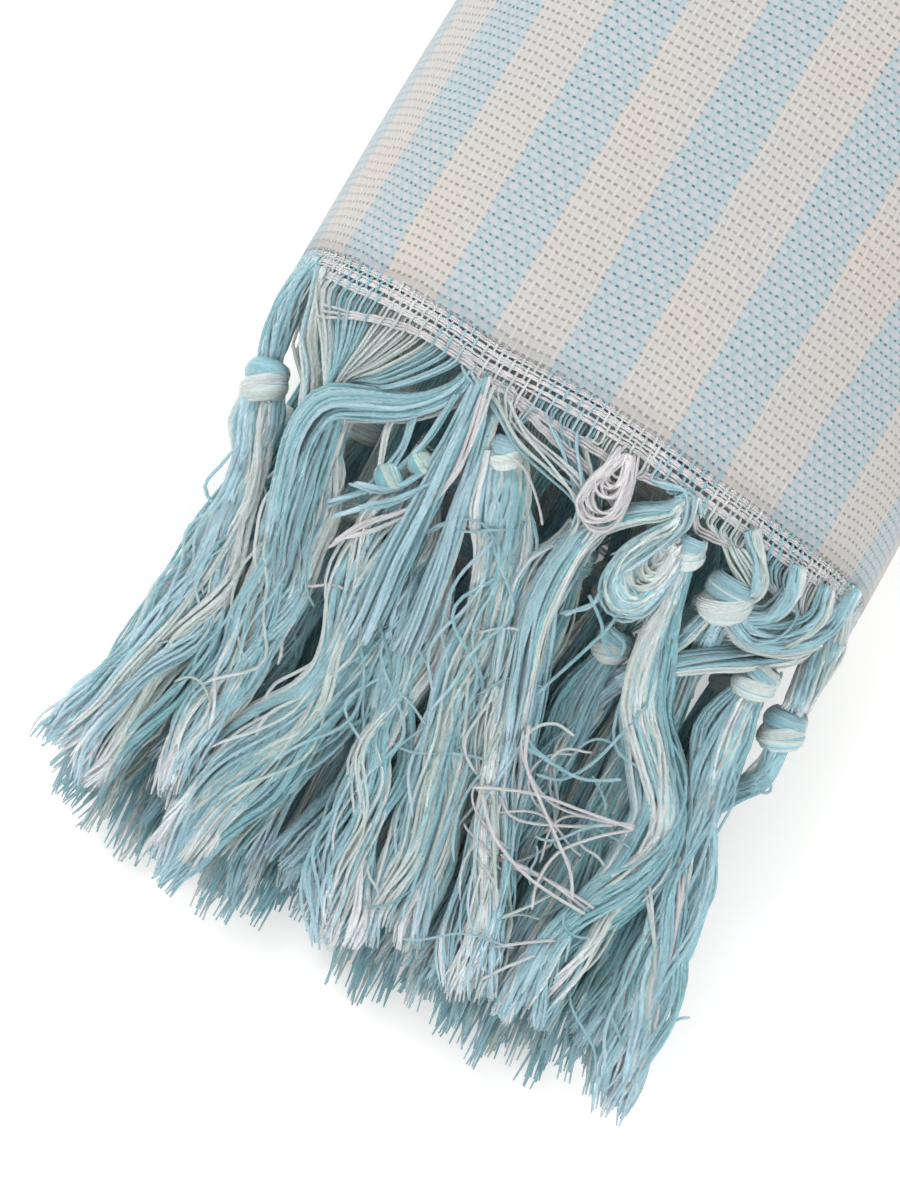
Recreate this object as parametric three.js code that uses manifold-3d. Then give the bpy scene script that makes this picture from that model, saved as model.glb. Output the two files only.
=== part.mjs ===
// A fouta: a flat-woven cotton bath and beach towel with knotted fringes. It is folded in four along
// its length, so that both fringed hems meet at one end, then rolled across its width, and lies on a
// surface. Millimetres, +Z up, +Y along the roll towards its folded end, the fringe towards -Y.
// The origin is under the middle of the whole part, on the surface it lies on.
import * as THREE from "three";
import { mergeVertices } from "three/addons/utils/BufferGeometryUtils.js";
import Module from "manifold-3d";

const wasm = await Module();
wasm.setup();

// Driving dimensions
const BODY_LENGTH = 450; // from the hem to the far fold, a quarter of the towel's length
const CLOTH = 2; // wall of the outer turn
const CLEARANCE = 0.35; // between pieces that touch
const FACET_ALLOWANCE = 0.1; // more, where two faceted walls lie in each other
const FOLD_RADIUS = 4; // outside of the outer turn's far fold
const FOLD_TURN = 1.85; // radians that this fold turns inwards
const TURNS = 5; // windings that show on the roll's ends
const NEAR_RECESS = 5; // the inner layers' hems lie behind the outer one
const KNOT_RADIUS = 3.6;
const TAIL_LOCKS = 4; // locks below each knot
const LOCK_RADIUS = { knot: 0.9, belly: 1.6, tip: 1.3 };
const FLOOR_GAP = 3; // lowest lock's middle above the floor, at its tip
const PILE_HEIGHT = 21; // of the fringe's middle lines at the tips
const UNDER_LAYERS = 10; // cloth under the lowest tassels
const BODY_HALF_WIDTH = 59;

// Outline of the roll across its length, seen from the fringe, clockwise from the free edge below
const SECTION = [
  { x: 24, z: 0 },
  { x: -6, z: 0 },
  { x: -36, z: 0 },
  { x: -52, z: 7 },
  { x: -59, z: 25 },
  { x: -57, z: 48 },
  { x: -46, z: 64 },
  { x: -26, z: 73.5 },
  { x: -4, z: 75 },
  { x: 17, z: 73 },
  { x: 37, z: 65 },
  { x: 52, z: 53 },
  { x: 59, z: 36 },
  { x: 57, z: 16 },
  { x: 44, z: 3 },
];
const MIDDLE = new THREE.Vector3(0, 0, 36);

// How far the raw hem lies from the plane y = 0, across the roll
const HEM = [
  { x: -59, y: 6 },
  { x: -47, y: 3 },
  { x: -20, y: 0 },
  { x: 0, y: 0.6 },
  { x: 24, y: -0.4 },
  { x: 40, y: 0 },
  { x: 59, y: 2 },
];

// Soft troughs and ridges of the outer turn: where round the roll (share of the outline), how wide
// (share), how deep (a ridge is negative), the stretch along the roll and how far it slants (share)
const FOLDS = [
  { at: 0.3, width: 0.022, depth: 1.4, from: 150, to: 420, slant: 0.03 },
  { at: 0.36, width: 0.03, depth: -1.1, from: 60, to: 330, slant: -0.02 },
  { at: 0.5, width: 0.035, depth: 1.2, from: 230, to: 440, slant: 0.05 },
  { at: 0.62, width: 0.03, depth: 1.6, from: 120, to: 400, slant: -0.04 },
  { at: 0.7, width: 0.025, depth: -1, from: 40, to: 260, slant: 0.02 },
  { at: 0.79, width: 0.024, depth: 1.5, from: 180, to: 450, slant: 0.03 },
  { at: 0.2, width: 0.02, depth: 1.3, from: 30, to: 240, slant: 0.01 },
];

// The top tassels, each as it fell: where its warp ends leave the hem (x), its knot (x, y), its way
// from there to the tips, and how far its outer locks lie from its middle, up to the belly and at
// the tips
const TOP_TASSELS = [
  {
    hem: [-54, -49],
    knot: [-52.6, -15.2],
    tail: [[-47.4, -30], [-44, -44], [-44.5, -54], [-46.5, -64], [-48.5, -75], [-49.5, -89]],
    spread: [2, 5.5],
  },
  {
    hem: [-43, -31],
    knot: [-38, -14],
    tail: [[-36, -26], [-34.6, -36], [-34.4, -48], [-34.4, -59], [-34, -69], [-34, -81]],
    spread: [3.2, 2.6],
  },
  {
    hem: [-26, -21],
    knot: [-21, -16],
    tail: [[-19, -26], [-18, -36], [-16.5, -46], [-17, -57], [-20, -67], [-23, -78], [-25.5, -98]],
    spread: [3.6, 3.6],
  },
  {
    hem: [-11, -2],
    knot: [-10.1, -9.2],
    tail: [[-5.6, -17], [-1.6, -24], [1, -33], [4, -42], [8, -51], [12, -60], [16, -70], [20, -84]],
    spread: [1.6, 3.6],
  },
  {
    hem: [-17.4, -16.4],
    knot: [-11.6, -24.2],
    tail: [[-9.5, -33], [-7, -42], [-4.4, -52], [-2, -62], [0, -71], [3.5, -82], [7, -93]],
    spread: [1.6, 2.6],
  },
  {
    hem: [3, 9],
    knot: [8, -11.5],
    tail: [[9.2, -19], [8.4, -26], [10, -36], [13.5, -45], [18, -54], [23, -63], [29, -75], [36, -90]],
    spread: [1.4, 2],
  },
  {
    hem: [20, 26],
    knot: [24.6, -7.6],
    tail: [
      [26, -15], [29, -23], [34, -31], [39.5, -38], [43.4, -44.5], [44.6, -53], [43.6, -63],
      [44, -74], [47, -86], [49, -95],
    ],
    spread: [2, 3.6],
  },
  { hem: [33, 38], knot: [35.1, -9.6], tail: [[36.6, -17], [39, -25]], spread: [0.8, 0.8] },
  {
    hem: [45, 49],
    knot: [47.4, -16.8],
    tail: [
      [46, -24], [47.8, -32], [51.5, -40], [54, -48], [55.5, -57], [56, -67], [58, -77], [63, -94],
    ],
    spread: [2, 3.4],
  },
  { hem: [52, 54], knot: [56.2, -20.2], tail: [[56.2, -26], [54.2, -33.5]], spread: [0.8, 0.8] },
];
const TOP_REACH = 93;

// The layers below them, from the top down: height in the pile (share), tassels, where the first and
// the last leave the cloth, how far the layer bows aside and drifts by its tips, and its reach
const LAYERS = [
  { level: 0.77, tassels: 8, first: -42, last: 45, bow: 3, drift: 1, reach: 90 },
  { level: 0.52, tassels: 8, first: -45, last: 45, bow: -3, drift: 7, reach: 94 },
  { level: 0.28, tassels: 7, first: -42, last: 45, bow: 2, drift: 2, reach: 98 },
  { level: 0.04, tassels: 6, first: -34, last: 38, bow: -2, drift: 5, reach: 98 },
];
const FAN = 8; // how much further apart the outermost tassels lie at their tips, each side
// Distance from hem to knot, read in turn
const KNOT_DROPS = [24, 13, 22, 15, 23, 11, 20, 17, 10, 15, 21];

const AQUA = 0x8fc7c4;
const CREAM = 0xece6da;

// Colours of the cloth and of the cotton bundles
const clothFinish = () =>
  new THREE.MeshStandardMaterial({ color: CREAM, roughness: 0.95, metalness: 0 });
const fringeFinish = () =>
  new THREE.MeshStandardMaterial({ color: AQUA, roughness: 0.9, metalness: 0 });

const smooth = (value, from, to) => THREE.MathUtils.smoothstep(value, from, to);
const lerp = THREE.MathUtils.lerp;

// Value of a table's column at a place along its x column
function readTable(table, x, column) {
  const next = table.findIndex((row) => row.x >= x);
  if (next === 0) return table[0][column];
  if (next < 0) return table[table.length - 1][column];
  const before = table[next - 1];
  const after = table[next];
  const share = (x - before.x) / (after.x - before.x);
  return lerp(before[column], after[column], share * share * (3 - 2 * share));
}

// A closed mesh as a solid, turned to face outwards
function solid(points, faces) {
  const vertices = new Float32Array(points.flatMap((p) => [p.x, p.y, p.z]));
  const geometry = new THREE.BufferGeometry();
  geometry.setAttribute("position", new THREE.BufferAttribute(vertices, 3));
  geometry.setIndex(faces);
  return toSolid(geometry);
}

function toSolid(geometry) {
  geometry.deleteAttribute("normal");
  geometry.deleteAttribute("uv");
  const merged = mergeVertices(geometry, 1e-4);
  const triVerts = new Uint32Array(merged.index.array);
  const vertProperties = merged.attributes.position.array;
  const corner = (i) => new THREE.Vector3().fromArray(vertProperties, 3 * triVerts[i]);
  let volume = 0;
  for (let i = 0; i < triVerts.length; i += 3) {
    volume += corner(i).dot(corner(i + 1).cross(corner(i + 2)));
  }
  if (volume < 0) triVerts.reverse();
  return new wasm.Manifold(new wasm.Mesh({ numProp: 3, vertProperties, triVerts }));
}

function toMesh(name, body, material) {
  const { vertProperties, triVerts } = body.getMesh();
  const geometry = new THREE.BufferGeometry();
  geometry.setAttribute("position", new THREE.BufferAttribute(vertProperties, 3));
  geometry.setIndex(new THREE.BufferAttribute(triVerts, 1));
  geometry.computeVertexNormals();
  const mesh = new THREE.Mesh(geometry, material);
  mesh.name = name;
  return mesh;
}

const outline = new THREE.CatmullRomCurve3(
  SECTION.map(({ x, z }) => new THREE.Vector3(x, 0, z)),
  true,
  "centripetal",
);

// A point on the roll: share of the way round, and how deep inside the outer face
function onSection(share, depth) {
  const round = share - Math.floor(share);
  const point = outline.getPointAt(round);
  const ahead = outline.getTangentAt(round);
  if (point.z <= 0) {
    point.z = 0;
    ahead.set(-1, 0, 0); // the underside rests flat
  }
  return point.add(new THREE.Vector3(ahead.z, 0, -ahead.x).normalize().multiplyScalar(depth));
}

function foldDepth(share, y) {
  let depth = 0;
  for (const fold of FOLDS) {
    const off = (share - fold.at - fold.slant * (y / BODY_LENGTH)) / fold.width;
    const ends = smooth(y, fold.from, fold.from + 50) * (1 - smooth(y, fold.to - 50, fold.to));
    depth += fold.depth * Math.exp(-off * off) * ends;
  }
  return depth;
}

// The outer turn: one layer of cloth round the roll. It starts at its free edge below, and past a
// whole turn it rises over that edge and goes in under the roll. Its far end folds inwards.
const STEPS_ROUND = 40; // facets round the roll, shared by the layers inside
const TUCK_STEPS = 3; // of them lie again over the free edge
const WALL_ROWS = [0, 0.06, 0.16, 0.3, 0.44, 0.58, 0.72, 0.86, 1]; // shares of the straight length
const FOLD_ROWS = 3;

function outerTurn() {
  const straight = BODY_LENGTH - FOLD_RADIUS;
  const rows = WALL_ROWS.length + FOLD_ROWS;
  const points = [];
  const faces = [];
  const index = (step, row, side) => (step * rows + row) * 2 + side;
  const quad = (a, b, c, d) => faces.push(a, b, c, a, c, d);
  const steps = STEPS_ROUND + TUCK_STEPS;
  for (let step = 0; step <= steps; step += 1) {
    const share = step / STEPS_ROUND;
    const lift = (CLOTH + CLEARANCE) * smooth(share, 0.92, 0.995);
    const hem = readTable(HEM, onSection(share, 0).x, "y");
    for (let row = 0; row < rows; row += 1) {
      const turned = (Math.max(0, row - WALL_ROWS.length + 1) / FOLD_ROWS) * FOLD_TURN;
      const flat = lerp(hem, straight, WALL_ROWS[Math.min(row, WALL_ROWS.length - 1)]);
      for (const side of [0, 1]) {
        const radius = FOLD_RADIUS - side * CLOTH;
        const depth = FOLD_RADIUS - radius * Math.cos(turned) + lift + foldDepth(share, flat);
        const point = onSection(share, depth);
        points.push(point.setY(flat + radius * Math.sin(turned)));
      }
    }
  }
  for (let step = 0; step < steps; step += 1) {
    for (let row = 0; row < rows - 1; row += 1) {
      quad(
        index(step, row, 0),
        index(step + 1, row, 0),
        index(step + 1, row + 1, 0),
        index(step, row + 1, 0),
      );
      quad(
        index(step, row, 1),
        index(step, row + 1, 1),
        index(step + 1, row + 1, 1),
        index(step + 1, row, 1),
      );
    }
    for (const [row, near, far] of [[0, 1, 0], [rows - 1, 0, 1]]) {
      quad(
        index(step, row, near),
        index(step + 1, row, near),
        index(step + 1, row, far),
        index(step, row, far),
      );
    }
  }
  for (let row = 0; row < rows - 1; row += 1) {
    for (const [step, first, second] of [[0, 0, 1], [steps, 1, 0]]) {
      quad(
        index(step, row, first),
        index(step, row + 1, first),
        index(step, row + 1, second),
        index(step, row, second),
      );
    }
  }
  return solid(points, faces);
}

// The hidden layers: one rounded solid just inside the outer turn. Its ends show the windings as a
// spiral of rounded ridges, folds at the far end and raw hems at the near one.
const NEAR_END = { rings: 10, height: 1.6 };
const FAR_END = { rings: 18, height: 4.5 };
const FAR_RECESS = 1.5; // the inner folds lie behind the outer one
const END_INSET = 3.5; // of the outermost winding behind the outer turn's inner face
const END_BEVEL = 3; // along the roll, from that winding to the skin
const TUCK_RISE = 14; // height over which the tucked edge's lift dies out up the sides

function rolledLayers() {
  const points = [];
  const faces = [];
  const skinDepth = CLOTH + CLEARANCE + FACET_ALLOWANCE;
  const underLift = (share) =>
    (CLOTH + CLEARANCE) * (1 - smooth(onSection(share, 0).z, 0, TUCK_RISE));
  const skin = (share, depth, y) =>
    onSection(share, depth + underLift(share) + foldDepth(share, y)).setY(y);
  const rings = [];
  const addRing = (place) => {
    rings.push(points.length);
    for (let step = 0; step < STEPS_ROUND; step += 1) points.push(place(step / STEPS_ROUND));
  };
  const winding = (share, inwards) =>
    0.5 + 0.5 * Math.cos(2 * Math.PI * (TURNS * inwards + share));
  const endRing = (end, ring, y, towards) =>
    addRing((share) => {
      const inwards = ring / end.rings;
      const edge = onSection(share, skinDepth + END_INSET + underLift(share));
      const point = MIDDLE.clone().lerp(edge, 1 - inwards);
      return point.setY(y - towards * end.height * (1 - winding(share, inwards)));
    });
  const farEnd = BODY_LENGTH - FAR_RECESS;
  points.push(MIDDLE.clone().setY(NEAR_RECESS));
  for (let ring = NEAR_END.rings - 1; ring >= 0; ring -= 1) {
    endRing(NEAR_END, ring, NEAR_RECESS, -1);
  }
  const straight = BODY_LENGTH - FOLD_RADIUS;
  addRing((share) => skin(share, skinDepth, NEAR_RECESS + END_BEVEL));
  for (const row of WALL_ROWS.slice(1, -1)) {
    addRing((share) => skin(share, skinDepth, row * straight));
  }
  addRing((share) => skin(share, skinDepth, straight - END_BEVEL));
  for (let ring = 0; ring < FAR_END.rings; ring += 1) {
    endRing(FAR_END, ring, farEnd, 1);
  }
  points.push(MIDDLE.clone().setY(farEnd - FAR_END.height / 2));
  const last = points.length - 1;
  for (let step = 0; step < STEPS_ROUND; step += 1) {
    const next = (step + 1) % STEPS_ROUND;
    faces.push(0, rings[0] + next, rings[0] + step);
    faces.push(last, rings[rings.length - 1] + step, rings[rings.length - 1] + next);
    for (let ring = 0; ring < rings.length - 1; ring += 1) {
      const here = rings[ring];
      const there = rings[ring + 1];
      faces.push(here + step, here + next, there + next);
      faces.push(here + step, there + next, there + step);
    }
  }
  return solid(points, faces);
}

// Upper and lower height of the cloth's middle line at a place across the roll
const EDGE_SAMPLES = 240;
const clothMiddle = Array.from({ length: EDGE_SAMPLES }, (_, i) =>
  onSection(i / EDGE_SAMPLES, CLOTH / 2),
);
function heightsAt(x) {
  const near = clothMiddle.filter((point) => Math.abs(point.x - x) < 1.2);
  const heights = near.map((point) => point.z);
  return { low: Math.min(...heights), high: Math.max(...heights) };
}

// Height of a layer of the fringe: its level in the pile, the place across where it left the cloth,
// and the share of the way to the tips. The layers keep their order, so no tassel crosses another.
const EDGE = 54; // furthest place across that is read
function layerHeight(level, across, along) {
  const { low, high } = heightsAt(THREE.MathUtils.clamp(across, -EDGE, EDGE));
  const root = lerp(low + UNDER_LAYERS, high, level);
  const tip = FLOOR_GAP + PILE_HEIGHT * level;
  const fall = Math.sin(THREE.MathUtils.clamp(along * 1.8, 0, Math.PI / 2)) ** 1.3;
  return lerp(root, tip, fall);
}

// A point of a lower layer
function inFringe(layer, across, along) {
  const aside = layer.drift + (FAN * across) / BODY_HALF_WIDTH;
  return new THREE.Vector3(
    across + aside * along ** 1.3 + layer.bow * Math.sin(Math.PI * along),
    -layer.reach * along,
    layerHeight(layer.level, across, along),
  );
}

// A point of the top layer
function onTop(x, y) {
  return new THREE.Vector3(x, y, layerHeight(1, x, -y / TOP_REACH));
}

// A lock of threads along its middle line, with three sides and upright ends
function lock(centres, radii) {
  const sides = 3;
  const points = [];
  const faces = [];
  centres.forEach((centre, row) => {
    for (let side = 0; side < sides; side += 1) {
      const angle = (2 * Math.PI * side) / sides + Math.PI / 2;
      points.push(
        new THREE.Vector3(Math.cos(angle), 0, Math.sin(angle))
          .multiplyScalar(radii[row])
          .add(centre),
      );
    }
  });
  const last = (centres.length - 1) * sides;
  faces.push(0, 1, 2, last, last + 2, last + 1);
  for (let row = 0; row < centres.length - 1; row += 1) {
    for (let side = 0; side < sides; side += 1) {
      const here = row * sides + side;
      const beside = row * sides + ((side + 1) % sides);
      faces.push(here, here + sides, beside + sides, here, beside + sides, beside);
    }
  }
  return solid(points, faces);
}

const TAIL_ROWS = [0, 0.12, 0.27, 0.45, 0.63, 0.82, 1]; // shares of the way from knot to tip
const BELLY_AT = 0.6; // where a lock is fullest
const GATHER_RADII = [0.9, 1, 1.1]; // of the gathered warp ends, from the hem into the knot
const GATHER_CLOSE = 1.2; // where they enter the knot, from its middle
const WIDEST_SPREAD = 4.6; // of a lower tassel's outer locks from its middle
const ZIGZAG = 0.5; // neighbouring locks lie this much above and below the middle at their tips
const ROOT_REACH = 50; // furthest that a lower tassel leaves the cloth from its middle

// How a lower tassel lies: its knot, where its warp ends start, and the middle line of its tail with
// the direction across it
function lowerWay(layer, number, order, seat) {
  const pitch = (layer.last - layer.first) / (layer.tassels - 1);
  const across = layer.first + pitch * number;
  const knotAt = KNOT_DROPS[order % KNOT_DROPS.length] / layer.reach;
  const end = 1 - 0.05 * (1 + Math.sin(2.4 * order));
  const roots = [-1, 1].map((side) => {
    const root = THREE.MathUtils.clamp(across + (side * pitch) / 3, -ROOT_REACH, ROOT_REACH);
    const start = inFringe(layer, root, 0);
    return start.setY(seat(start) - CLEARANCE);
  });
  const room = (pitch * (1 + FAN / BODY_HALF_WIDTH)) / 2 - LOCK_RADIUS.belly - 0.5;
  const widest = Math.min(room, WIDEST_SPREAD);
  return {
    roots,
    knot: inFringe(layer, across, knotAt),
    halfway: inFringe(layer, across, knotAt / 2),
    spread: (share) => lerp(KNOT_RADIUS * 0.72, widest, smooth(share, 0, 0.7)),
    middle: (share) => inFringe(layer, across, lerp(knotAt, end, share)),
    aside: () => new THREE.Vector3(1, 0, 0),
  };
}

function topWay({ hem, knot, tail, spread }) {
  const corners = [knot, ...tail].map(([x, y]) => new THREE.Vector3(x, y, 0));
  const line = new THREE.CatmullRomCurve3(corners, false, "centripetal");
  return {
    roots: hem.map((x) => onTop(x, readTable(HEM, x, "y") - CLEARANCE)),
    knot: onTop(...knot),
    halfway: onTop(lerp(hem[0], knot[0], 0.5), knot[1] / 2),
    spread: (share) => lerp(spread[0], spread[1], smooth(share, 0.3, 1)),
    middle: (share) => {
      const { x, y } = line.getPointAt(share);
      return onTop(x, y);
    },
    aside: (share) => {
      const ahead = line.getTangentAt(share);
      return new THREE.Vector3(-ahead.y, ahead.x, 0);
    },
  };
}

// A tassel: warp ends gathered from the hem into an overhand knot, with the cut ends in locks below
function tassel(way, order) {
  const ball = new THREE.SphereGeometry(KNOT_RADIUS, 6, 4);
  ball.rotateX(Math.PI / 2);
  ball.translate(way.knot.x, way.knot.y, way.knot.z);
  let body = toSolid(ball);
  way.roots.forEach((start, number) => {
    const side = 2 * number - 1;
    const into = way.knot.clone().add(new THREE.Vector3(side * GATHER_CLOSE, 0.5, 0));
    const between = start.clone().lerp(into, 0.5).setZ(way.halfway.z);
    body = body.add(lock([start, between, into], GATHER_RADII));
  });
  for (let place = 0; place < TAIL_LOCKS; place += 1) {
    const side = (2 * place) / (TAIL_LOCKS - 1) - 1;
    const length = 1 - 0.04 * Math.abs(Math.sin(5 * order + 2 * place));
    const centres = TAIL_ROWS.map((row) => {
      const share = row * length;
      const point = way.middle(share);
      point.addScaledVector(way.aside(share), side * way.spread(share));
      point.z += ZIGZAG * (place % 2 === 0 ? 1 : -1) * share;
      return point;
    });
    const radii = TAIL_ROWS.map((share) =>
      share < BELLY_AT
        ? lerp(LOCK_RADIUS.knot, LOCK_RADIUS.belly, share / BELLY_AT)
        : lerp(LOCK_RADIUS.belly, LOCK_RADIUS.tip, (share - BELLY_AT) / (1 - BELLY_AT)),
    );
    body = body.add(lock(centres, radii));
  }
  return body;
}

const towel = new THREE.Group();
towel.add(toMesh("outer_turn", outerTurn(), clothFinish()));
const hiddenLayers = toMesh("rolled_layers", rolledLayers(), clothFinish());
hiddenLayers.updateMatrixWorld(true);
towel.add(hiddenLayers);

// Where a lower tassel's warp ends leave the cloth: the face of the layers behind the outer hem
const probe = new THREE.Raycaster();
function seat(start) {
  probe.set(start.clone().setY(-BODY_LENGTH), new THREE.Vector3(0, 1, 0));
  return probe.intersectObject(hiddenLayers)[0].point.y;
}

const addTassel = (name, way, order) =>
  towel.add(toMesh(name, tassel(way, order), fringeFinish()));
TOP_TASSELS.forEach((row, number) => addTassel(`tassel_1_${number + 1}`, topWay(row), number));
let order = TOP_TASSELS.length;
LAYERS.forEach((layer, depth) => {
  for (let number = 0; number < layer.tassels; number += 1) {
    const way = lowerWay(layer, number, order, seat);
    addTassel(`tassel_${depth + 2}_${number + 1}`, way, order);
    order += 1;
  }
});

// The origin goes under the middle of the whole part
const extent = new THREE.Box3().setFromObject(towel);
towel.position.set(-(extent.min.x + extent.max.x) / 2, -(extent.min.y + extent.max.y) / 2, 0);

export default towel;
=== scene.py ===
import math

import bpy
import numpy as np
from mathutils import Matrix, Vector


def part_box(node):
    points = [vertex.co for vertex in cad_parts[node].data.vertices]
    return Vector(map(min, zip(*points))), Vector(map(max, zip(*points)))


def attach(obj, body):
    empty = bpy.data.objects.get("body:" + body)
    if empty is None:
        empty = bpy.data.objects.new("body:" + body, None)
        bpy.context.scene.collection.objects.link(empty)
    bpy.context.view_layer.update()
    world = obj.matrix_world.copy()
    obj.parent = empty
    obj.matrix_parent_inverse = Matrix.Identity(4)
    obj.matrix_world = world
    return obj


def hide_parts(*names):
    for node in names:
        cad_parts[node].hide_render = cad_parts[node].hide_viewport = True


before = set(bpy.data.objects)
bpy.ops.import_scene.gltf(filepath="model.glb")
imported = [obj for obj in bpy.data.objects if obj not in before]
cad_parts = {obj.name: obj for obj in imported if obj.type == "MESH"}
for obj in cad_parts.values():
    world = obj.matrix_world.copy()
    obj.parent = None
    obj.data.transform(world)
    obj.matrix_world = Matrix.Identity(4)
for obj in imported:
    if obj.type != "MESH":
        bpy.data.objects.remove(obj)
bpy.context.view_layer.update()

# The outer turn of the roll: one layer of the towel, flat-woven cotton in aqua and cream stripes.
# Thin single warp threads run along the roll, and the weft is a pale ribbon of three strands.
# The towel was folded in four along its length and rolled up, so this turn ends in a fold far away.
OUTLINE = np.array([  # of the roll, in millimetres, seen from the fringe and clockwise
    (24, 0), (-6, 0), (-36, 0), (-52, 7), (-59, 25), (-57, 48), (-46, 64), (-26, 73.5),
    (-4, 75), (17, 73), (37, 65), (52, 53), (59, 36), (57, 16), (44, 3),
], float)
HEM_LINE = np.array([  # x across, y of the raw hem
    (-59, 6), (-47, 3), (-20, 0), (0, 0.6), (24, -0.4), (40, 0), (59, 2),
], float)
FOLD_FADE = 50  # length over which a fold begins and ends
FOLDS = [  # share of the way round, width, depth, from and to along the roll, slant
    (0.3, 0.022, 1.4, 150, 420, 0.03),
    (0.36, 0.03, -1.1, 60, 330, -0.02),
    (0.5, 0.035, 1.2, 230, 440, 0.05),
    (0.62, 0.03, 1.6, 120, 400, -0.04),
    (0.7, 0.025, -1, 40, 260, 0.02),
    (0.79, 0.024, 1.5, 180, 450, 0.03),
    (0.2, 0.02, 1.3, 30, 240, 0.01),
]
BODY_LENGTH = 450
FOLD_RADIUS = 4  # of the fold at the far end
FOLD_TURN = 1.85  # radians that it turns in
WALL = 1.5
TUCKED = 0.075  # of a turn that goes in above the free selvedge
LAP_DEPTH = 2.35  # of the tucked-in cloth inside the outline
LAP_SHARES = (0.92, 0.995)  # of the way round, between which it sinks in
WAVES = [  # height, number round the roll, length along it, phase
    (0.22, 5, 31, 0),
    (0.16, 9, -19, 1.3),
    (0.12, 3, 12.5, 0.4),
]
WARP_PITCH = 1.3
WEFT_PITCH = 1.7
STRIPE_WARPS = 9
STRIPE_START_X = -22.3  # where an aqua stripe ends on top of the roll
OUTLINE_STEPS = 32  # between two corners of the outline
FLAT_BELOW = 0.5  # height under which the cloth rests on the surface
MM = 0.001

low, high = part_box("outer_turn")
ORIGIN = np.array([(low[0] + high[0]) / 2, low[1] + 0.4 * MM, 0])  # middle of the hem, on the floor


def span(a, b, c, d, t):
    """Points from b to c on a smooth curve through four corners, at the shares t of the way."""
    before, between, after = (
        max(np.linalg.norm(q - p), 1e-6) ** 0.5 for p, q in ((a, b), (b, c), (c, d))
    )
    start = ((b - a) / before - (c - a) / (before + between) + (c - b) / between) * between
    end = ((c - b) / between - (d - b) / (between + after) + (d - c) / after) * between
    return (
        (2 * t**3 - 3 * t**2 + 1) * b
        + (t**3 - 2 * t**2 + t) * start
        + (3 * t**2 - 2 * t**3) * c
        + (t**3 - t**2) * end
    )


def closed_curve(corners):
    """Points on a smooth closed curve through the corners."""
    t = np.arange(OUTLINE_STEPS)[:, None] / OUTLINE_STEPS
    fours = zip(*(np.roll(corners, shift, 0) for shift in (1, 0, -1, -2)))
    return np.concatenate([span(*four, t) for four in fours])


ring = closed_curve(OUTLINE)
ring[:, 1] = np.maximum(ring[:, 1], 0)
ring_ahead = np.roll(ring, -1, 0) - np.roll(ring, 1, 0)
ring_ahead /= np.linalg.norm(ring_ahead, axis=1)[:, None]
ring_inward = np.stack([ring_ahead[:, 1], -ring_ahead[:, 0]], 1)
ring_length = np.concatenate([[0], np.cumsum(np.linalg.norm(np.roll(ring, -1, 0) - ring, axis=1))])
PERIMETER = ring_length[-1]


def on_section(share, depth):
    """x and z of points on the roll: share of the way round, depth inside the outer face."""
    place = np.mod(share, 1) * PERIMETER
    columns = [
        np.interp(place, ring_length, np.append(column, column[0]))
        for column in (ring[:, 0], ring[:, 1], ring_inward[:, 0], ring_inward[:, 1])
    ]
    return columns[0] + columns[2] * depth, columns[1] + columns[3] * depth


def ease(value, start, end):
    t = np.clip((value - start) / (end - start), 0, 1)
    return t * t * (3 - 2 * t)


def lap_lift(share):
    """How deep the cloth lies inside the outline where it goes in above the free selvedge."""
    return LAP_DEPTH * ease(share, *LAP_SHARES)


def fold_depth(share, y):
    """How deep the troughs go, and less than 0 on a ridge."""
    depth = 0
    for at, width, deep, start, end, slant in FOLDS:
        off = (share - at - slant * y / BODY_LENGTH) / width
        ends = ease(y, start, start + FOLD_FADE) * (1 - ease(y, end - FOLD_FADE, end))
        depth = depth + deep * np.exp(-off * off) * ends
    return depth


def hem_y(x):
    return np.interp(x, HEM_LINE[:, 0], HEM_LINE[:, 1])


def unevenness(share, y):
    """The soft waves of cloth that was rolled by hand."""
    turn = 2 * np.pi * share
    waves = sum(high * np.sin(n * turn + y / long + phase) for high, n, long, phase in WAVES)
    underneath = on_section(share, 0)[1] < 2
    return waves * (1 - 0.8 * underneath)


def place(points):
    """Millimetres from the middle of the hem to the frame's metres."""
    return points * MM + ORIGIN


over_top = slice(6 * OUTLINE_STEPS, 11 * OUTLINE_STEPS)  # from corner 6 of the outline to 11
STRIPE_START = float(np.interp(STRIPE_START_X, ring[over_top, 0], ring_length[over_top]))


def build(name, points, faces, uv=None, slots=None):
    """A mesh object from arrays of points and quads, with a UV map of weave or thread places."""
    mesh = bpy.data.meshes.new(name)
    mesh.vertices.add(len(points))
    mesh.vertices.foreach_set("co", np.asarray(points, np.float32).ravel())
    mesh.loops.add(faces.size)
    mesh.loops.foreach_set("vertex_index", faces.astype(np.int32).ravel())
    mesh.polygons.add(len(faces))
    mesh.polygons.foreach_set("loop_start", np.arange(0, faces.size, 4, dtype=np.int32))
    mesh.polygons.foreach_set("use_smooth", np.ones(len(faces), bool))
    if slots is not None:
        mesh.polygons.foreach_set("material_index", slots.astype(np.int32))
    if uv is not None:
        layer = mesh.uv_layers.new(name="Weave")
        layer.data.foreach_set("uv", np.asarray(uv, np.float32)[faces.ravel()].ravel())
    mesh.update(calc_edges=True)
    piece = bpy.data.objects.new(name, mesh)
    bpy.context.scene.collection.objects.link(piece)
    return piece


def point_values(piece, name, values):
    """A number for each point of a mesh, which its material reads by that name."""
    layer = piece.data.attributes.new(name, "FLOAT", "POINT")
    layer.data.foreach_set("value", values.astype(np.float32))


def grid_faces(rows, columns, start=0):
    """Quads between neighbouring rows and columns of points."""
    corner = (np.arange(rows - 1)[:, None] * columns + np.arange(columns - 1)).ravel() + start
    return np.stack([corner, corner + columns, corner + columns + 1, corner + 1], 1)


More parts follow.
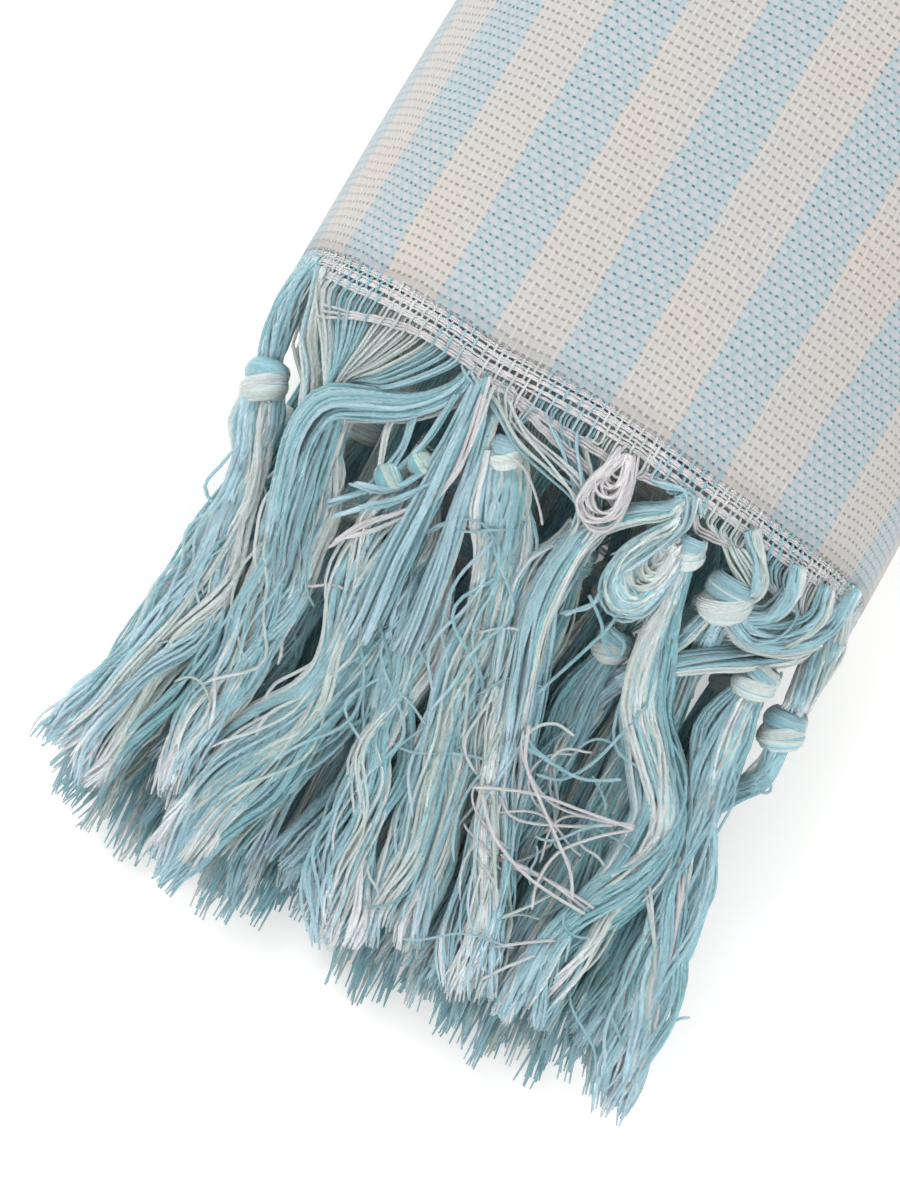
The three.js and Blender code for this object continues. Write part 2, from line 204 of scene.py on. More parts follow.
def linear(hexadecimal):
    """An sRGB hex colour as linear numbers."""
    channels = [int(hexadecimal[i : i + 2], 16) / 255 for i in (1, 3, 5)]
    return [c / 12.92 if c <= 0.04045 else ((c + 0.055) / 1.055) ** 2.4 for c in channels] + [1]


def principled(name, finish):
    """A material whose Principled shader has that finish."""
    material = bpy.data.materials.new(name)
    material.use_nodes = True
    shader = material.node_tree.nodes["Principled BSDF"]
    for socket, value in finish.items():
        shader.inputs[socket].default_value = value
    return material


def add(tree, kind, reads=(), **settings):
    """Adds a shader node with its settings. It reads numbers, colours and other nodes' outputs, in
    the order of its sockets or by their names, and a node stands for its first output."""
    node = tree.nodes.new("ShaderNode" + kind)
    for key, value in settings.items():
        setattr(node, key, value)
    for socket, value in reads.items() if isinstance(reads, dict) else enumerate(reads):
        if isinstance(value, bpy.types.Node):
            value = next(output for output in value.outputs if output.enabled)
        if isinstance(value, bpy.types.NodeSocket):
            tree.links.new(value, node.inputs[socket])
        else:
            node.inputs[socket].default_value = value
    return node


CREAM_WARP, AQUA_WARP = "#C3C1BB", "#A0B6BD"
WEFT_DYES = ("#BCBBBB", "#C4BBB3", "#A8B8C3")  # cool, warm, and tinted by aqua warps
GAP_PAINTED_SHADES = ("#8A8A82", "#56777A")  # painted shade deep down in the gaps between threads, where the layer below lies in shadow: in a cream stripe and in an aqua one
WARP_HALF, AQUA_WIDER = 0.24, 0.05  # half a warp's width, and how much wider aqua ones are
WEFT_HALF = 0.37
WEFT_STRANDS = 3.8  # strands to a weft pitch, so that a ribbon is three strands wide
WARP_SWING, WEFT_SWING = 0.3, -0.2  # how far threads rise and sink at crossings
WARP_THICK, WEFT_THICK = 0.22, 0.2
WANDER_SCALE = 0.16  # to a pitch: the threads wander in waves of about 9 mm
CLOUD_SCALE = 0.05  # to a pitch: cool and warm patches of about 30 mm
THREAD_SCALE = 0.9  # to a pitch: shades that change from thread to thread


def woven_cotton():
    """Open plain weave of undressed cotton, matt and a little hairy. Pale weft ribbons show between
    the warps, with a gap at each corner, so that the cream stripes look like a net of small holes
    and the aqua ones like rows of small bricks. The gaps are painted dark as shade, for the
    shadowed layer under them, and the colour is painted darker the lower a place lies in the weave,
    as shade in its hollows. Thread sizes are shares of the pitch."""
    finish = {
        "Roughness": 0.92,
        "Specular IOR Level": 0.25,
        "Sheen Weight": 0.15,
        "Sheen Roughness": 0.5,
    }
    material = principled("plain_woven_cotton", finish)
    tree = material.node_tree
    weave = add(tree, "UVMap", uv_map="Weave")
    wander = add(tree, "TexNoise", {"Vector": weave, "Scale": WANDER_SCALE, "Detail": 3.0})
    centred = add(
        tree, "VectorMath", (wander.outputs["Color"], (0.5, 0.5, 0.5)), operation="SUBTRACT"
    )
    nudged = add(tree, "VectorMath", (centred, (1.3, 1.1, 0), weave), operation="MULTIPLY_ADD")
    warp_place, weft_place, _ = add(tree, "SeparateXYZ", (nudged,)).outputs
    warp_share = add(tree, "Math", (warp_place,), operation="FRACT")
    warp_off = add(tree, "Math", (warp_share, 0.5), operation="SUBTRACT")
    weft_share = add(tree, "Math", (weft_place,), operation="FRACT")
    weft_off = add(tree, "Math", (weft_share, 0.5), operation="SUBTRACT")
    pairs = add(tree, "Math", (warp_place, 2.0 * STRIPE_WARPS), operation="DIVIDE")
    pair_share = add(tree, "Math", (pairs,), operation="FRACT")
    stripe = add(tree, "Math", (pair_share, 0.5), operation="GREATER_THAN")

    def wave(along, crossed):
        """Up at every second crossing, and down between them."""
        half_turns = add(tree, "Math", (along, math.pi), operation="MULTIPLY")
        swing = add(tree, "Math", (half_turns,), operation="SINE")
        number = add(tree, "Math", (crossed,), operation="FLOOR")
        odd = add(tree, "Math", (number, math.pi), operation="MULTIPLY")
        side = add(tree, "Math", (odd,), operation="COSINE")
        return add(tree, "Math", (swing, side), operation="MULTIPLY")

    def roundness(off, half):
        """The rounded back of a thread, and 0 past its edge."""
        share = add(tree, "Math", (off, half), operation="DIVIDE")
        square = add(tree, "Math", (share, share), operation="MULTIPLY")
        left = add(tree, "Math", (1.0, square), operation="SUBTRACT")
        kept = add(tree, "Math", (left, 0.0), operation="MAXIMUM")
        return add(tree, "Math", (kept,), operation="SQRT")

    def level_of(swing, back, thickness):
        """Height of a thread over the middle of the cloth, and far below past its edge."""
        height = add(tree, "Math", (back, thickness, swing), operation="MULTIPLY_ADD")
        on = add(tree, "Math", (back, 0.02), operation="GREATER_THAN")
        raised = add(tree, "Math", (height, 1.0), operation="ADD")
        return add(tree, "Math", (raised, on, -1.0), operation="MULTIPLY_ADD")

    warp_half = add(tree, "Math", (stripe, AQUA_WIDER, WARP_HALF), operation="MULTIPLY_ADD")
    warp_wave = wave(weft_place, warp_place)
    warp_swing = add(tree, "Math", (warp_wave, WARP_SWING), operation="MULTIPLY")
    weft_wave = wave(warp_place, weft_place)
    weft_swing = add(tree, "Math", (weft_wave, WEFT_SWING), operation="MULTIPLY")
    strand_place = add(tree, "Math", (weft_off, WEFT_STRANDS, 0.5), operation="MULTIPLY_ADD")
    strand_share = add(tree, "Math", (strand_place,), operation="FRACT")
    strand_off = add(tree, "Math", (strand_share, 0.5), operation="SUBTRACT")
    strands = roundness(strand_off, 0.6)
    ribbon = roundness(weft_off, WEFT_HALF)
    weft_back = add(tree, "Math", (ribbon, strands), operation="MULTIPLY")
    warp_level = level_of(warp_swing, roundness(warp_off, warp_half), WARP_THICK)
    weft_level = level_of(weft_swing, weft_back, WEFT_THICK)
    level = add(tree, "Math", (warp_level, weft_level), operation="MAXIMUM")
    shows_warp = add(tree, "Math", (warp_level, weft_level), operation="GREATER_THAN")

    cloudy = add(tree, "TexNoise", {"Vector": weave, "Scale": CLOUD_SCALE, "Detail": 2.0})
    patches = add(tree, "MapRange", {"Value": cloudy, "From Min": 0.4, "From Max": 0.66})
    threads = add(tree, "TexNoise", {"Vector": nudged, "Scale": THREAD_SCALE, "Detail": 1.0})
    cool, warm, tinted = map(linear, WEFT_DYES)
    cream_gap_shade, aqua_gap_shade = map(linear, GAP_PAINTED_SHADES)
    ends = {"Factor": stripe, "A": linear(CREAM_WARP), "B": linear(AQUA_WARP)}
    warp_colour = add(tree, "Mix", ends, data_type="RGBA")
    picks = add(tree, "Mix", {"Factor": patches, "A": cool, "B": warm}, data_type="RGBA")
    in_aqua = add(tree, "Math", (stripe, 0.5), operation="MULTIPLY")
    weft_colour = add(tree, "Mix", {"Factor": in_aqua, "A": picks, "B": tinted}, data_type="RGBA")
    either = {"Factor": shows_warp, "A": weft_colour, "B": warp_colour}
    thread_colour = add(tree, "Mix", either, data_type="RGBA")
    mottled = add(tree, "Math", (threads, 0.16), operation="MULTIPLY")
    greyed = {"Factor": mottled, "A": thread_colour, "B": linear("#A5A1A0")}
    shaded = add(tree, "Mix", greyed, data_type="RGBA")
    # Painted shade in the gaps: dark where the weave is open over the shadowed layer below, and a
    # greyed thread colour where it is shut
    deep = {"Factor": stripe, "A": cream_gap_shade, "B": aqua_gap_shade}
    deep_gap_shade = add(tree, "Mix", deep, data_type="RGBA")
    facing = add(tree, "Attribute", attribute_name="open").outputs["Fac"]
    ranges = {"From Min": 0.38, "From Max": 0.62, "To Min": 0.45, "To Max": 1.0}
    looser = add(tree, "MapRange", {"Value": threads, **ranges})
    how_open = add(tree, "Math", (facing, looser), operation="MULTIPLY")
    shut = {"Factor": 0.3, "A": thread_colour, "B": linear("#74727A")}
    shut_gap_shade = add(tree, "Mix", shut, data_type="RGBA")
    either = {"Factor": how_open, "A": shut_gap_shade, "B": deep_gap_shade}
    gap_painted_shade = add(tree, "Mix", either, data_type="RGBA")
    # Painted shade: the lower a place lies in the weave, the more it takes the painted gap shade,
    # for the shade in its hollows
    depths = {"Value": level, "From Min": -0.5, "From Max": 0.02}
    lit = add(tree, "MapRange", depths, interpolation_type="SMOOTHSTEP")
    height = add(tree, "Math", (level, -0.4), operation="MAXIMUM")
    relief = add(tree, "Bump", {"Height": height, "Distance": 0.0005, "Strength": 0.8})
    colour = add(tree, "Mix", {"Factor": lit, "A": gap_painted_shade, "B": shaded}, data_type="RGBA")
    shader = tree.nodes["Principled BSDF"]
    tree.links.new(colour.outputs[2], shader.inputs["Base Color"])
    tree.links.new(relief.outputs[0], shader.inputs["Normal"])
    return material


CLOTH = woven_cotton()
SHELL_START = 4.9  # the shell ends here, and the hem's own threads go on
CLOTH_COLUMNS, CLOTH_ROWS, FOLD_ROWS = 230, 76, 9


def outer_cloth():
    """The layer of cloth as a shell with two faces, closed at its edges."""
    around = np.linspace(0, 1 + TUCKED, CLOTH_COLUMNS)
    straight = BODY_LENGTH - FOLD_RADIUS
    level_rows = np.linspace(SHELL_START / straight, 1, CLOTH_ROWS)
    along = np.concatenate([level_rows, np.full(FOLD_ROWS, 1)])
    turned = np.concatenate([np.zeros(CLOTH_ROWS), np.linspace(0, FOLD_TURN, FOLD_ROWS + 1)[1:]])
    share, run = np.meshgrid(around, along, indexing="ij")
    turn = np.broadcast_to(turned, share.shape)
    hem = hem_y(on_section(share, 0)[0])
    y = hem + (straight - hem) * run
    lift = lap_lift(share)
    soft = fold_depth(share, y) + unevenness(share, y)
    sides = []
    for inner in (0, WALL):
        radius = FOLD_RADIUS - inner
        depth = FOLD_RADIUS - radius * np.cos(turn) + lift + soft
        x, z = on_section(share, np.maximum(depth, 0))
        x_outside, z_outside = on_section(share, depth)
        resting = z_outside < FLAT_BELOW
        x = np.where(resting, x, x_outside)
        z = np.where(resting, z, z_outside)
        sides.append(np.stack([x, y + radius * np.sin(turn), z], -1))
    rows, columns = share.shape
    size = rows * columns
    points = place(np.concatenate([side.reshape(-1, 3) for side in sides]))
    outside = grid_faces(rows, columns)
    inside = grid_faces(rows, columns, size)[:, ::-1]
    near = np.arange(rows - 1) * columns
    hem_edge = np.stack([near, near + size, near + columns + size, near + columns], 1)
    far_edge = (hem_edge + columns - 1)[:, ::-1]
    first = np.arange(columns - 1)
    free_edge = np.stack([first, first + 1, first + 1 + size, first + size], 1)
    tucked_edge = (free_edge + (rows - 1) * columns)[:, ::-1]
    faces = np.concatenate([outside, inside, hem_edge, far_edge, free_edge, tucked_edge])
    weave = np.stack(
        [
            (share * PERIMETER - STRIPE_START) / WARP_PITCH,
            (run * straight + FOLD_RADIUS * turn) / WEFT_PITCH,
        ],
        -1,
    ).reshape(-1, 2)
    piece = build("outer_cloth", points, faces[:, ::-1], np.concatenate([weave, weave]))
    # How much of the painted gap shade shows: most where the cloth faces up, little on its steep
    # sides
    facing_up = np.interp(np.mod(share, 1) * PERIMETER, ring_length[:-1], -ring_inward[:, 1])
    point_values(piece, "open", np.tile(ease(facing_up, 0.05, 0.75).ravel(), 2))
    piece.data.materials.append(CLOTH)
    return piece


cloth = outer_cloth()
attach(cloth, "root")
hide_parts("outer_turn")

# The hidden layers: the rest of the cotton cloth, rolled up inside the outer turn. They show only
# at the two ends, as rounded folds far away and as raw hems near by, wound in a spiral.
TURNS = 5
ROLL_MIDDLE = np.array([0, 36])
SKIN_DEPTH = 2.4  # inside the outer face
ENDS_DEEPER = 2.2
SKIN_COLUMNS, SPIRAL_RINGS = 160, 62
RIDGE_SHARPNESS = 0.6
WINDING_STEP = 0.87  # of a turn, by which the stripes shift from one winding to the next
PLY_DROP = 6  # how far the weave moves on from one winding to the next


def inner_layers():
    """A skin just inside the outer turn, with ridged ends."""
    around = np.linspace(0, 1, SKIN_COLUMNS + 1)[:-1]
    past_lap = np.mod(around + 0.12, 1)  # the skin gives way where the tucked-in cloth lies on it
    under = LAP_DEPTH * ease(past_lap, 0.04, 0.115) * (1 - ease(past_lap, 0.185, 0.2))
    rings, weave = [], []

    def spiral(end_y, towards, height):
        for inwards in np.linspace(1, 0, SPIRAL_RINGS):
            x, z = on_section(around, SKIN_DEPTH + ENDS_DEEPER + under)
            wound = TURNS * inwards + around
            ridge = np.abs(np.cos(np.pi * wound)) ** RIDGE_SHARPNESS
            uneven = 0.8 * np.sin(2 * np.pi * around * 2 + 5 * inwards) * inwards
            x = ROLL_MIDDLE[0] + (x - ROLL_MIDDLE[0]) * (1 - inwards)
            z = ROLL_MIDDLE[1] + (z - ROLL_MIDDLE[1]) * (1 - inwards)
            y = end_y - towards * (height * (1 - ridge) + uneven)
            rings.append(np.stack([x, y, z], -1))
            walked = (around - np.floor(wound) * WINDING_STEP) * PERIMETER - STRIPE_START
            weave.append(np.stack([walked / WARP_PITCH, wound * PLY_DROP / WEFT_PITCH], -1))

    spiral(2.6, -1, 2.2)
    for y in np.concatenate([[6], np.linspace(30, BODY_LENGTH - 30, 12), [BODY_LENGTH - 7]]):
        x, z = on_section(around, SKIN_DEPTH + under + fold_depth(around, y))
        rings.append(np.stack([x, np.full_like(x, y), z], -1))
        walked = around * PERIMETER - STRIPE_START
        weave.append(np.stack([walked / WARP_PITCH, np.full_like(x, y / WEFT_PITCH)], -1))
    forward = len(rings)
    spiral(BODY_LENGTH - 1.5, 1, 4.5)
    rings[forward:] = rings[forward:][::-1]
    weave[forward:] = weave[forward:][::-1]
    points = place(np.concatenate(rings))
    columns = len(around)
    corner = np.arange((len(rings) - 1) * columns)
    beside = corner // columns * columns + (corner + 1) % columns
    faces = np.stack([corner, beside, beside + columns, corner + columns], 1)
    piece = build("inner_layers", points, faces, np.concatenate(weave))
    # The painted gap shade shows in full on the hidden layers
    point_values(piece, "open", np.ones(len(points)))
    piece.data.materials.append(CLOTH)
    return piece


inner = inner_layers()
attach(inner, "root")
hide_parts("rolled_layers")

# The top tassels: warp ends of the outer turn, gathered in their stripes and tied in an overhand
# knot, with the cut ends hanging below. Each lies as it fell. The threads are loosely twisted
# two-ply cotton, aqua or cream as the stripe they come from.
THREAD_RADIUS = 0.33
PLY_TWIST = 4.2  # radians a millimetre: the grooves between the two plies repeat each 1.5 mm
FADE_SCALE = 0.25  # to a millimetre: a thread's shade drifts over about 4 mm
AQUA, CREAM, WHITE = 0, 1, 2
THREAD_SIDES = 3
CURVE_STEPS = 12  # between two corners of a thread's way
TOP_TASSELS = [  # knot (x, y), its radius and depth, way to the tips, half width near the
    # knot and at the tips, threads, share of cream
    ((-52.6, -15.2), 3.9, 0, [(-47.4, -30), (-44.4, -42), (-43.6, -52), (-45, -63), (-47, -75),
     (-49.5, -90)], (3.2, 6.8), 170, 0.46),
    ((-38, -14), 2.4, 2.4, [(-37, -24), (-36, -33), (-33, -43), (-31.4, -54), (-31.6, -63),
     (-32, -74), (-31, -84)], (4.2, 2.8), 180, 0.55),
    ((-21, -16), 2.4, 2.4, [(-19, -26), (-18, -36), (-16.5, -46), (-17, -57), (-20, -67),
     (-23, -78), (-25.5, -98)], (5.2, 4.8), 210, 0.48),
    ((-10.1, -9.2), 2.9, 0, [(-5.2, -17), (-0.8, -24), (2, -33), (4.6, -42), (7.4, -53),
     (11, -64), (14.6, -75), (18, -87)], (3.6, 4.4), 180, 0.52),
    ((-11.6, -24.2), 2.2, 3.4, [(-9.5, -33), (-7, -42), (-4.4, -52), (-2, -62), (0, -71),
     (3.5, -82), (7, -93)], (3, 3.4), 130, 0.45),
    ((8, -11.5), 2.3, 2.6, [(8.6, -19), (7.6, -26), (10.4, -35), (15, -45), (20, -55), (25, -66),
     (30, -79), (34, -90)], (2.8, 3.2), 130, 0.45),
    ((24.6, -7.6), 3.4, 0, [(27, -15.2), (30, -23), (33.6, -30.4), (40, -36.6), (46.4, -43.6),
     (47.4, -53), (44.4, -63), (42.6, -74), (43.4, -88)], (2.6, 4.2), 170, 0.36),
    ((35.1, -9.6), 4.4, 0, [(36.6, -16), (38, -24)], (0.8, 0.8), 50, 0.3),
    ((47.4, -16.8), 3.6, 0, [(47.6, -24), (49.8, -33), (53, -42.8), (56.4, -54), (59.4, -67),
     (62, -79), (65.4, -94)], (2.6, 2.8), 150, 0.3),
    ((56.2, -20.2), 3.9, 0, [(57.6, -24.6), (57.2, -29), (55.2, -32.6), (52.6, -36)], (0.6, 0.5),
     90, 0.15),
]
TOP_REACH = 93  # from the hem to the tips
FLOOR_GAP = 3  # under the lowest layer's tips
PILE_HEIGHT = 21  # of the layers' tips
UNDER_LAYERS = 10  # from the roll's underside to the lowest layer
EDGE = 54  # half the width over which layers leave the roll
FULL_HANK = 100  # threads: a tassel with fewer dives under its neighbours
DIVE = 13
TOP_ROWS = 30
WAY_ROWS = 80


def twisted_cotton(name, shades):
    """Loosely spun two-ply cotton: matt and soft, the ply's slanting grooves as relief, each thread
    a slightly different shade. The colour runs from a painted deep-teal shade at the dark end, for
    threads that lie in shadow, up through the dye to a pale end. Light sinks into the nap and out
    again, so hanks glow softly."""
    finish = {
        "Roughness": 0.85,
        "Specular IOR Level": 0.3,
        "Sheen Weight": 0.45,
        "Sheen Roughness": 0.5,
        "Subsurface Weight": 0.6,
        "Subsurface Radius": (1, 1, 1),
        "Subsurface Scale": 0.0015,
    }
    material = principled(name, finish)
    tree = material.node_tree
    shader = tree.nodes["Principled BSDF"]
    shader.subsurface_method = "BURLEY"
    thread = add(tree, "UVMap", uv_map="Weave")
    shade = add(tree, "Attribute", attribute_name="shade").outputs["Fac"]
    fade = add(tree, "TexNoise", {"Vector": thread, "Scale": FADE_SCALE, "Detail": 2.0})
    faded = add(tree, "Math", (fade, 0.4), operation="MULTIPLY")
    mixed = add(tree, "Math", (shade, 0.6, faded), operation="MULTIPLY_ADD")
    ramp = add(tree, "ValToRGB", {"Fac": mixed})
    ramp.color_ramp.elements.new(0.5)
    for element, position, dye in zip(ramp.color_ramp.elements, (0.05, 0.5, 0.92), shades):
        element.position = position
        element.color = linear(dye)
    around, along, _ = add(tree, "SeparateXYZ", (thread,)).outputs
    turned = add(tree, "Math", (along, PLY_TWIST), operation="MULTIPLY")
    angle = add(tree, "Math", (around, 4 * math.pi, turned), operation="MULTIPLY_ADD")
    groove = add(tree, "Math", (angle,), operation="SINE")
    relief = add(tree, "Bump", {"Height": groove, "Distance": 0.00009, "Strength": 0.45})
    tree.links.new(ramp.outputs[0], shader.inputs["Base Color"])
    tree.links.new(relief.outputs[0], shader.inputs["Normal"])
    return material


# The first colour of the aqua and cream threads is painted shade, deep teal or grey-green for
# threads deep in the hanks; the others are the dye's darker and paler threads
COTTONS = [
    twisted_cotton("aqua_cotton_thread", ("#2E7C83", "#7CA4AC", "#A6BEC9")),
    twisted_cotton("cream_cotton_thread", ("#76968F", "#ABB8B4", "#CACBCF")),
    twisted_cotton("white_weft_strand", ("#B2AFB2", "#BAB8BA", "#C4C1C3")),
]


def curve(corners, count):
    """Evenly spaced points on a smooth curve through the corners."""
    corners = np.asarray(corners, float)
    before_first, past_last = 2 * corners[0] - corners[1], 2 * corners[-1] - corners[-2]
    padded = np.concatenate([[before_first], corners, [past_last]])
    t = np.linspace(0, 1, CURVE_STEPS + 1)[:-1, None]
    spans = [span(*four, t) for four in zip(padded, padded[1:], padded[2:], padded[3:])]
    dense = np.concatenate(spans + [corners[-1:]])
    walked = np.concatenate([[0], np.cumsum(np.linalg.norm(np.diff(dense, axis=0), axis=1))])
    even = np.linspace(0, walked[-1], count)
    return np.stack([np.interp(even, walked, dense[:, k]) for k in range(dense.shape[1])], 1)


def frames_along(lines):
    """Directions across and above each of the lines, which turn as little as possible."""
    ahead = np.gradient(lines, axis=1)
    ahead /= np.maximum(np.linalg.norm(ahead, axis=2), 1e-9)[..., None]
    across = np.zeros_like(lines)
    side = np.cross(ahead[:, 0], [0.11, 0.07, 1.0])
    for row in range(lines.shape[1]):
        side = side - (side * ahead[:, row]).sum(1)[:, None] * ahead[:, row]
        side /= np.maximum(np.linalg.norm(side, axis=1), 1e-9)[:, None]
        across[:, row] = side
    return across, np.cross(across, ahead)


def threads(name, strands, random):
    """One mesh of thin tubes. A strand is a line of points, a radius, a colour and, for some, how
    light it is from 0 to 1."""
    by_length = {}
    for strand in strands:
        by_length.setdefault(len(strand[0]), []).append(strand)
    points, faces, places, slots, shades = [], [], [], [], []
    first = 0
    sides = THREAD_SIDES
    angle = 2 * np.pi * np.arange(sides) / sides
    for rows, group in by_length.items():
        lines = np.stack([strand[0] for strand in group])
        count = len(group)
        across, up = frames_along(lines)
        thickness = np.array([strand[1] for strand in group])[:, None] * np.ones(rows)
        thickness[:, -1] *= 0.5  # the cut ends taper
        cosine, sine = np.cos(angle)[:, None], np.sin(angle)[:, None]
        rim = across[:, :, None] * cosine + up[:, :, None] * sine
        tubes = lines[:, :, None] + rim * thickness[:, :, None, None]
        tubes[..., 2] = np.maximum(tubes[..., 2], 0.05)
        walked = np.cumsum(np.linalg.norm(np.diff(lines, axis=1, prepend=lines[:, :1]), axis=2), 1)
        walked = walked + 31 * random.random((count, 1))
        one, row, turn = np.meshgrid(
            np.arange(count), np.arange(rows - 1), np.arange(sides), indexing="ij"
        )
        here = (one * rows + row) * sides + turn
        beside = (one * rows + row) * sides + (turn + 1) % sides
        points.append(tubes.reshape(-1, 3))
        quads = np.stack([here, beside, beside + sides, here + sides], -1)
        faces.append(quads.reshape(-1, 4) + first)
        around = np.broadcast_to(np.arange(sides) / sides, tubes.shape[:3])
        along = np.broadcast_to(walked[:, :, None], tubes.shape[:3])
        places.append(np.stack([around, along], -1).reshape(-1, 2))
        slots.append(np.repeat([strand[2] for strand in group], (rows - 1) * sides))
        light = [strand[3] if len(strand) > 3 else 0.4 + 0.5 * random.random() for strand in group]
        paler_end = 0.4 * ease(np.linspace(0, 1, rows), 0.8, 1)
        shades.append(np.repeat(np.add.outer(light, paler_end).ravel(), sides))
        first += count * rows * sides
    piece = build(
        name,
        place(np.concatenate(points)),
        np.concatenate(faces),
        np.concatenate(places),
        np.concatenate(slots),
    )
    point_values(piece, "shade", np.concatenate(shades))
    for cotton in COTTONS:
        piece.data.materials.append(cotton)
    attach(piece, "root")
    return piece


def soft_noise(random, count, rows, waves):
    """Soft random curves between -1 and 1, with about that many waves."""
    t = np.linspace(0, 1, rows)
    total = np.zeros((count, rows))
    for strength in (1, 0.6, 0.35):
        number = waves * (0.7 + 0.6 * random.random((count, 1))) / strength**0.8
        total += strength * np.sin(2 * np.pi * (number * t + random.random((count, 1))))
    return total / 1.6


middle_x, middle_z = on_section(np.arange(960) / 960, 1.0)
upper = middle_z > 36
upper_order = np.argsort(middle_x[upper])
lower_order = np.argsort(middle_x[~upper])


def layer_height(level, across, along):
    """Height of a layer of the fringe: its level in the pile, the place across where it left the
    cloth, and the share of the way to the tips."""
    x = np.clip(across, -EDGE, EDGE)
    top = np.interp(x, middle_x[upper][upper_order], middle_z[upper][upper_order])
    base = np.interp(x, middle_x[~upper][lower_order], middle_z[~upper][lower_order])
    root = base + UNDER_LAYERS + (top - base - UNDER_LAYERS) * level
    tip = FLOOR_GAP + PILE_HEIGHT * level
    fall = np.sin(np.clip(along * 1.8, 0, np.pi / 2)) ** 1.3
    return root + (tip - root) * fall


def on_top(x, y, lift=0):
    """Points on the top layer of the fringe, or that much over it."""
    x, y = np.asarray(x, float), np.asarray(y, float)
    return np.stack([x, y, layer_height(1, x, -y / TOP_REACH) + lift], -1)


KNOT_STRAND = 0.3
BAND_TURNS = 1.08
KNOT_BANDS = [(-0.3, 0.2, 0.94, 14), (0.32, -0.13, 1.0, 15)]  # place, slant, size, strands


def knot(centre, ahead, radius, random, swap, steps=18):
    """An overhand knot: two wound bands of threads, one aslant over the other, and a strap that
    crosses from one to the other."""
    ahead = ahead / np.linalg.norm(ahead)
    upward = np.array([0, 0, 1.0]) - ahead[2] * ahead
    upward /= np.linalg.norm(upward)
    aside = np.cross(ahead, upward)
    strands = []

    def wind(axis, turn, heights, bulges, colours):
        first = np.cross(axis, upward)
        first /= np.linalg.norm(first)
        second = np.cross(axis, first)
        for height, bulge, colour in zip(heights, bulges, colours):
            ring_points = (
                centre
                + axis * (height * radius)[:, None]
                + first * (np.cos(turn) * bulge * radius)[:, None]
                + second * (np.sin(turn) * bulge * radius)[:, None]
            )
            strands.append((ring_points, KNOT_STRAND, colour))

    for band, (shift, tilt, size, count) in enumerate(KNOT_BANDS):
        axis = ahead + aside * (tilt + random.normal(0, 0.04)) + upward * random.normal(0, 0.06)
        axis /= np.linalg.norm(axis)
        turn = np.linspace(0, 2 * np.pi * BAND_TURNS, steps)
        off = np.linspace(-1, 1, count)
        heights = [shift + 0.56 * o + 0.1 * np.sin(turn + 2 * band) for o in off]
        bulges = [
            size * math.sqrt(1 - 0.5 * o * o) * (1 + 0.05 * np.sin(2 * turn + band))
            + random.normal(0, 0.012)
            for o in off
        ]
        main, other = (AQUA, CREAM) if (band == 0) != swap else (CREAM, AQUA)
        colours = [other if random.random() < 0.12 else main for _ in off]
        wind(axis, turn, heights, bulges, colours)
    turn = np.linspace(-1.15, 0.1, steps) * np.pi
    climb = np.linspace(-0.6, 0.62, steps)
    wind(
        ahead,
        turn,
        [climb + 0.1 * k for k in range(-2, 3)],
        [1.04 - 0.014 * k * k for k in range(-2, 3)],
        [AQUA if swap else CREAM] * 5,
    )
    return strands


TIED = 0.45  # width of a tail where it leaves its knot, as a share of its full width
LOCK_RADIUS, LOCK_GROWS = 1.15, 0.45
STRAIGHT_BELOW = 60  # length under which a tail lies ever straighter
ESCAPED = 0.07  # share of threads that have left their lock


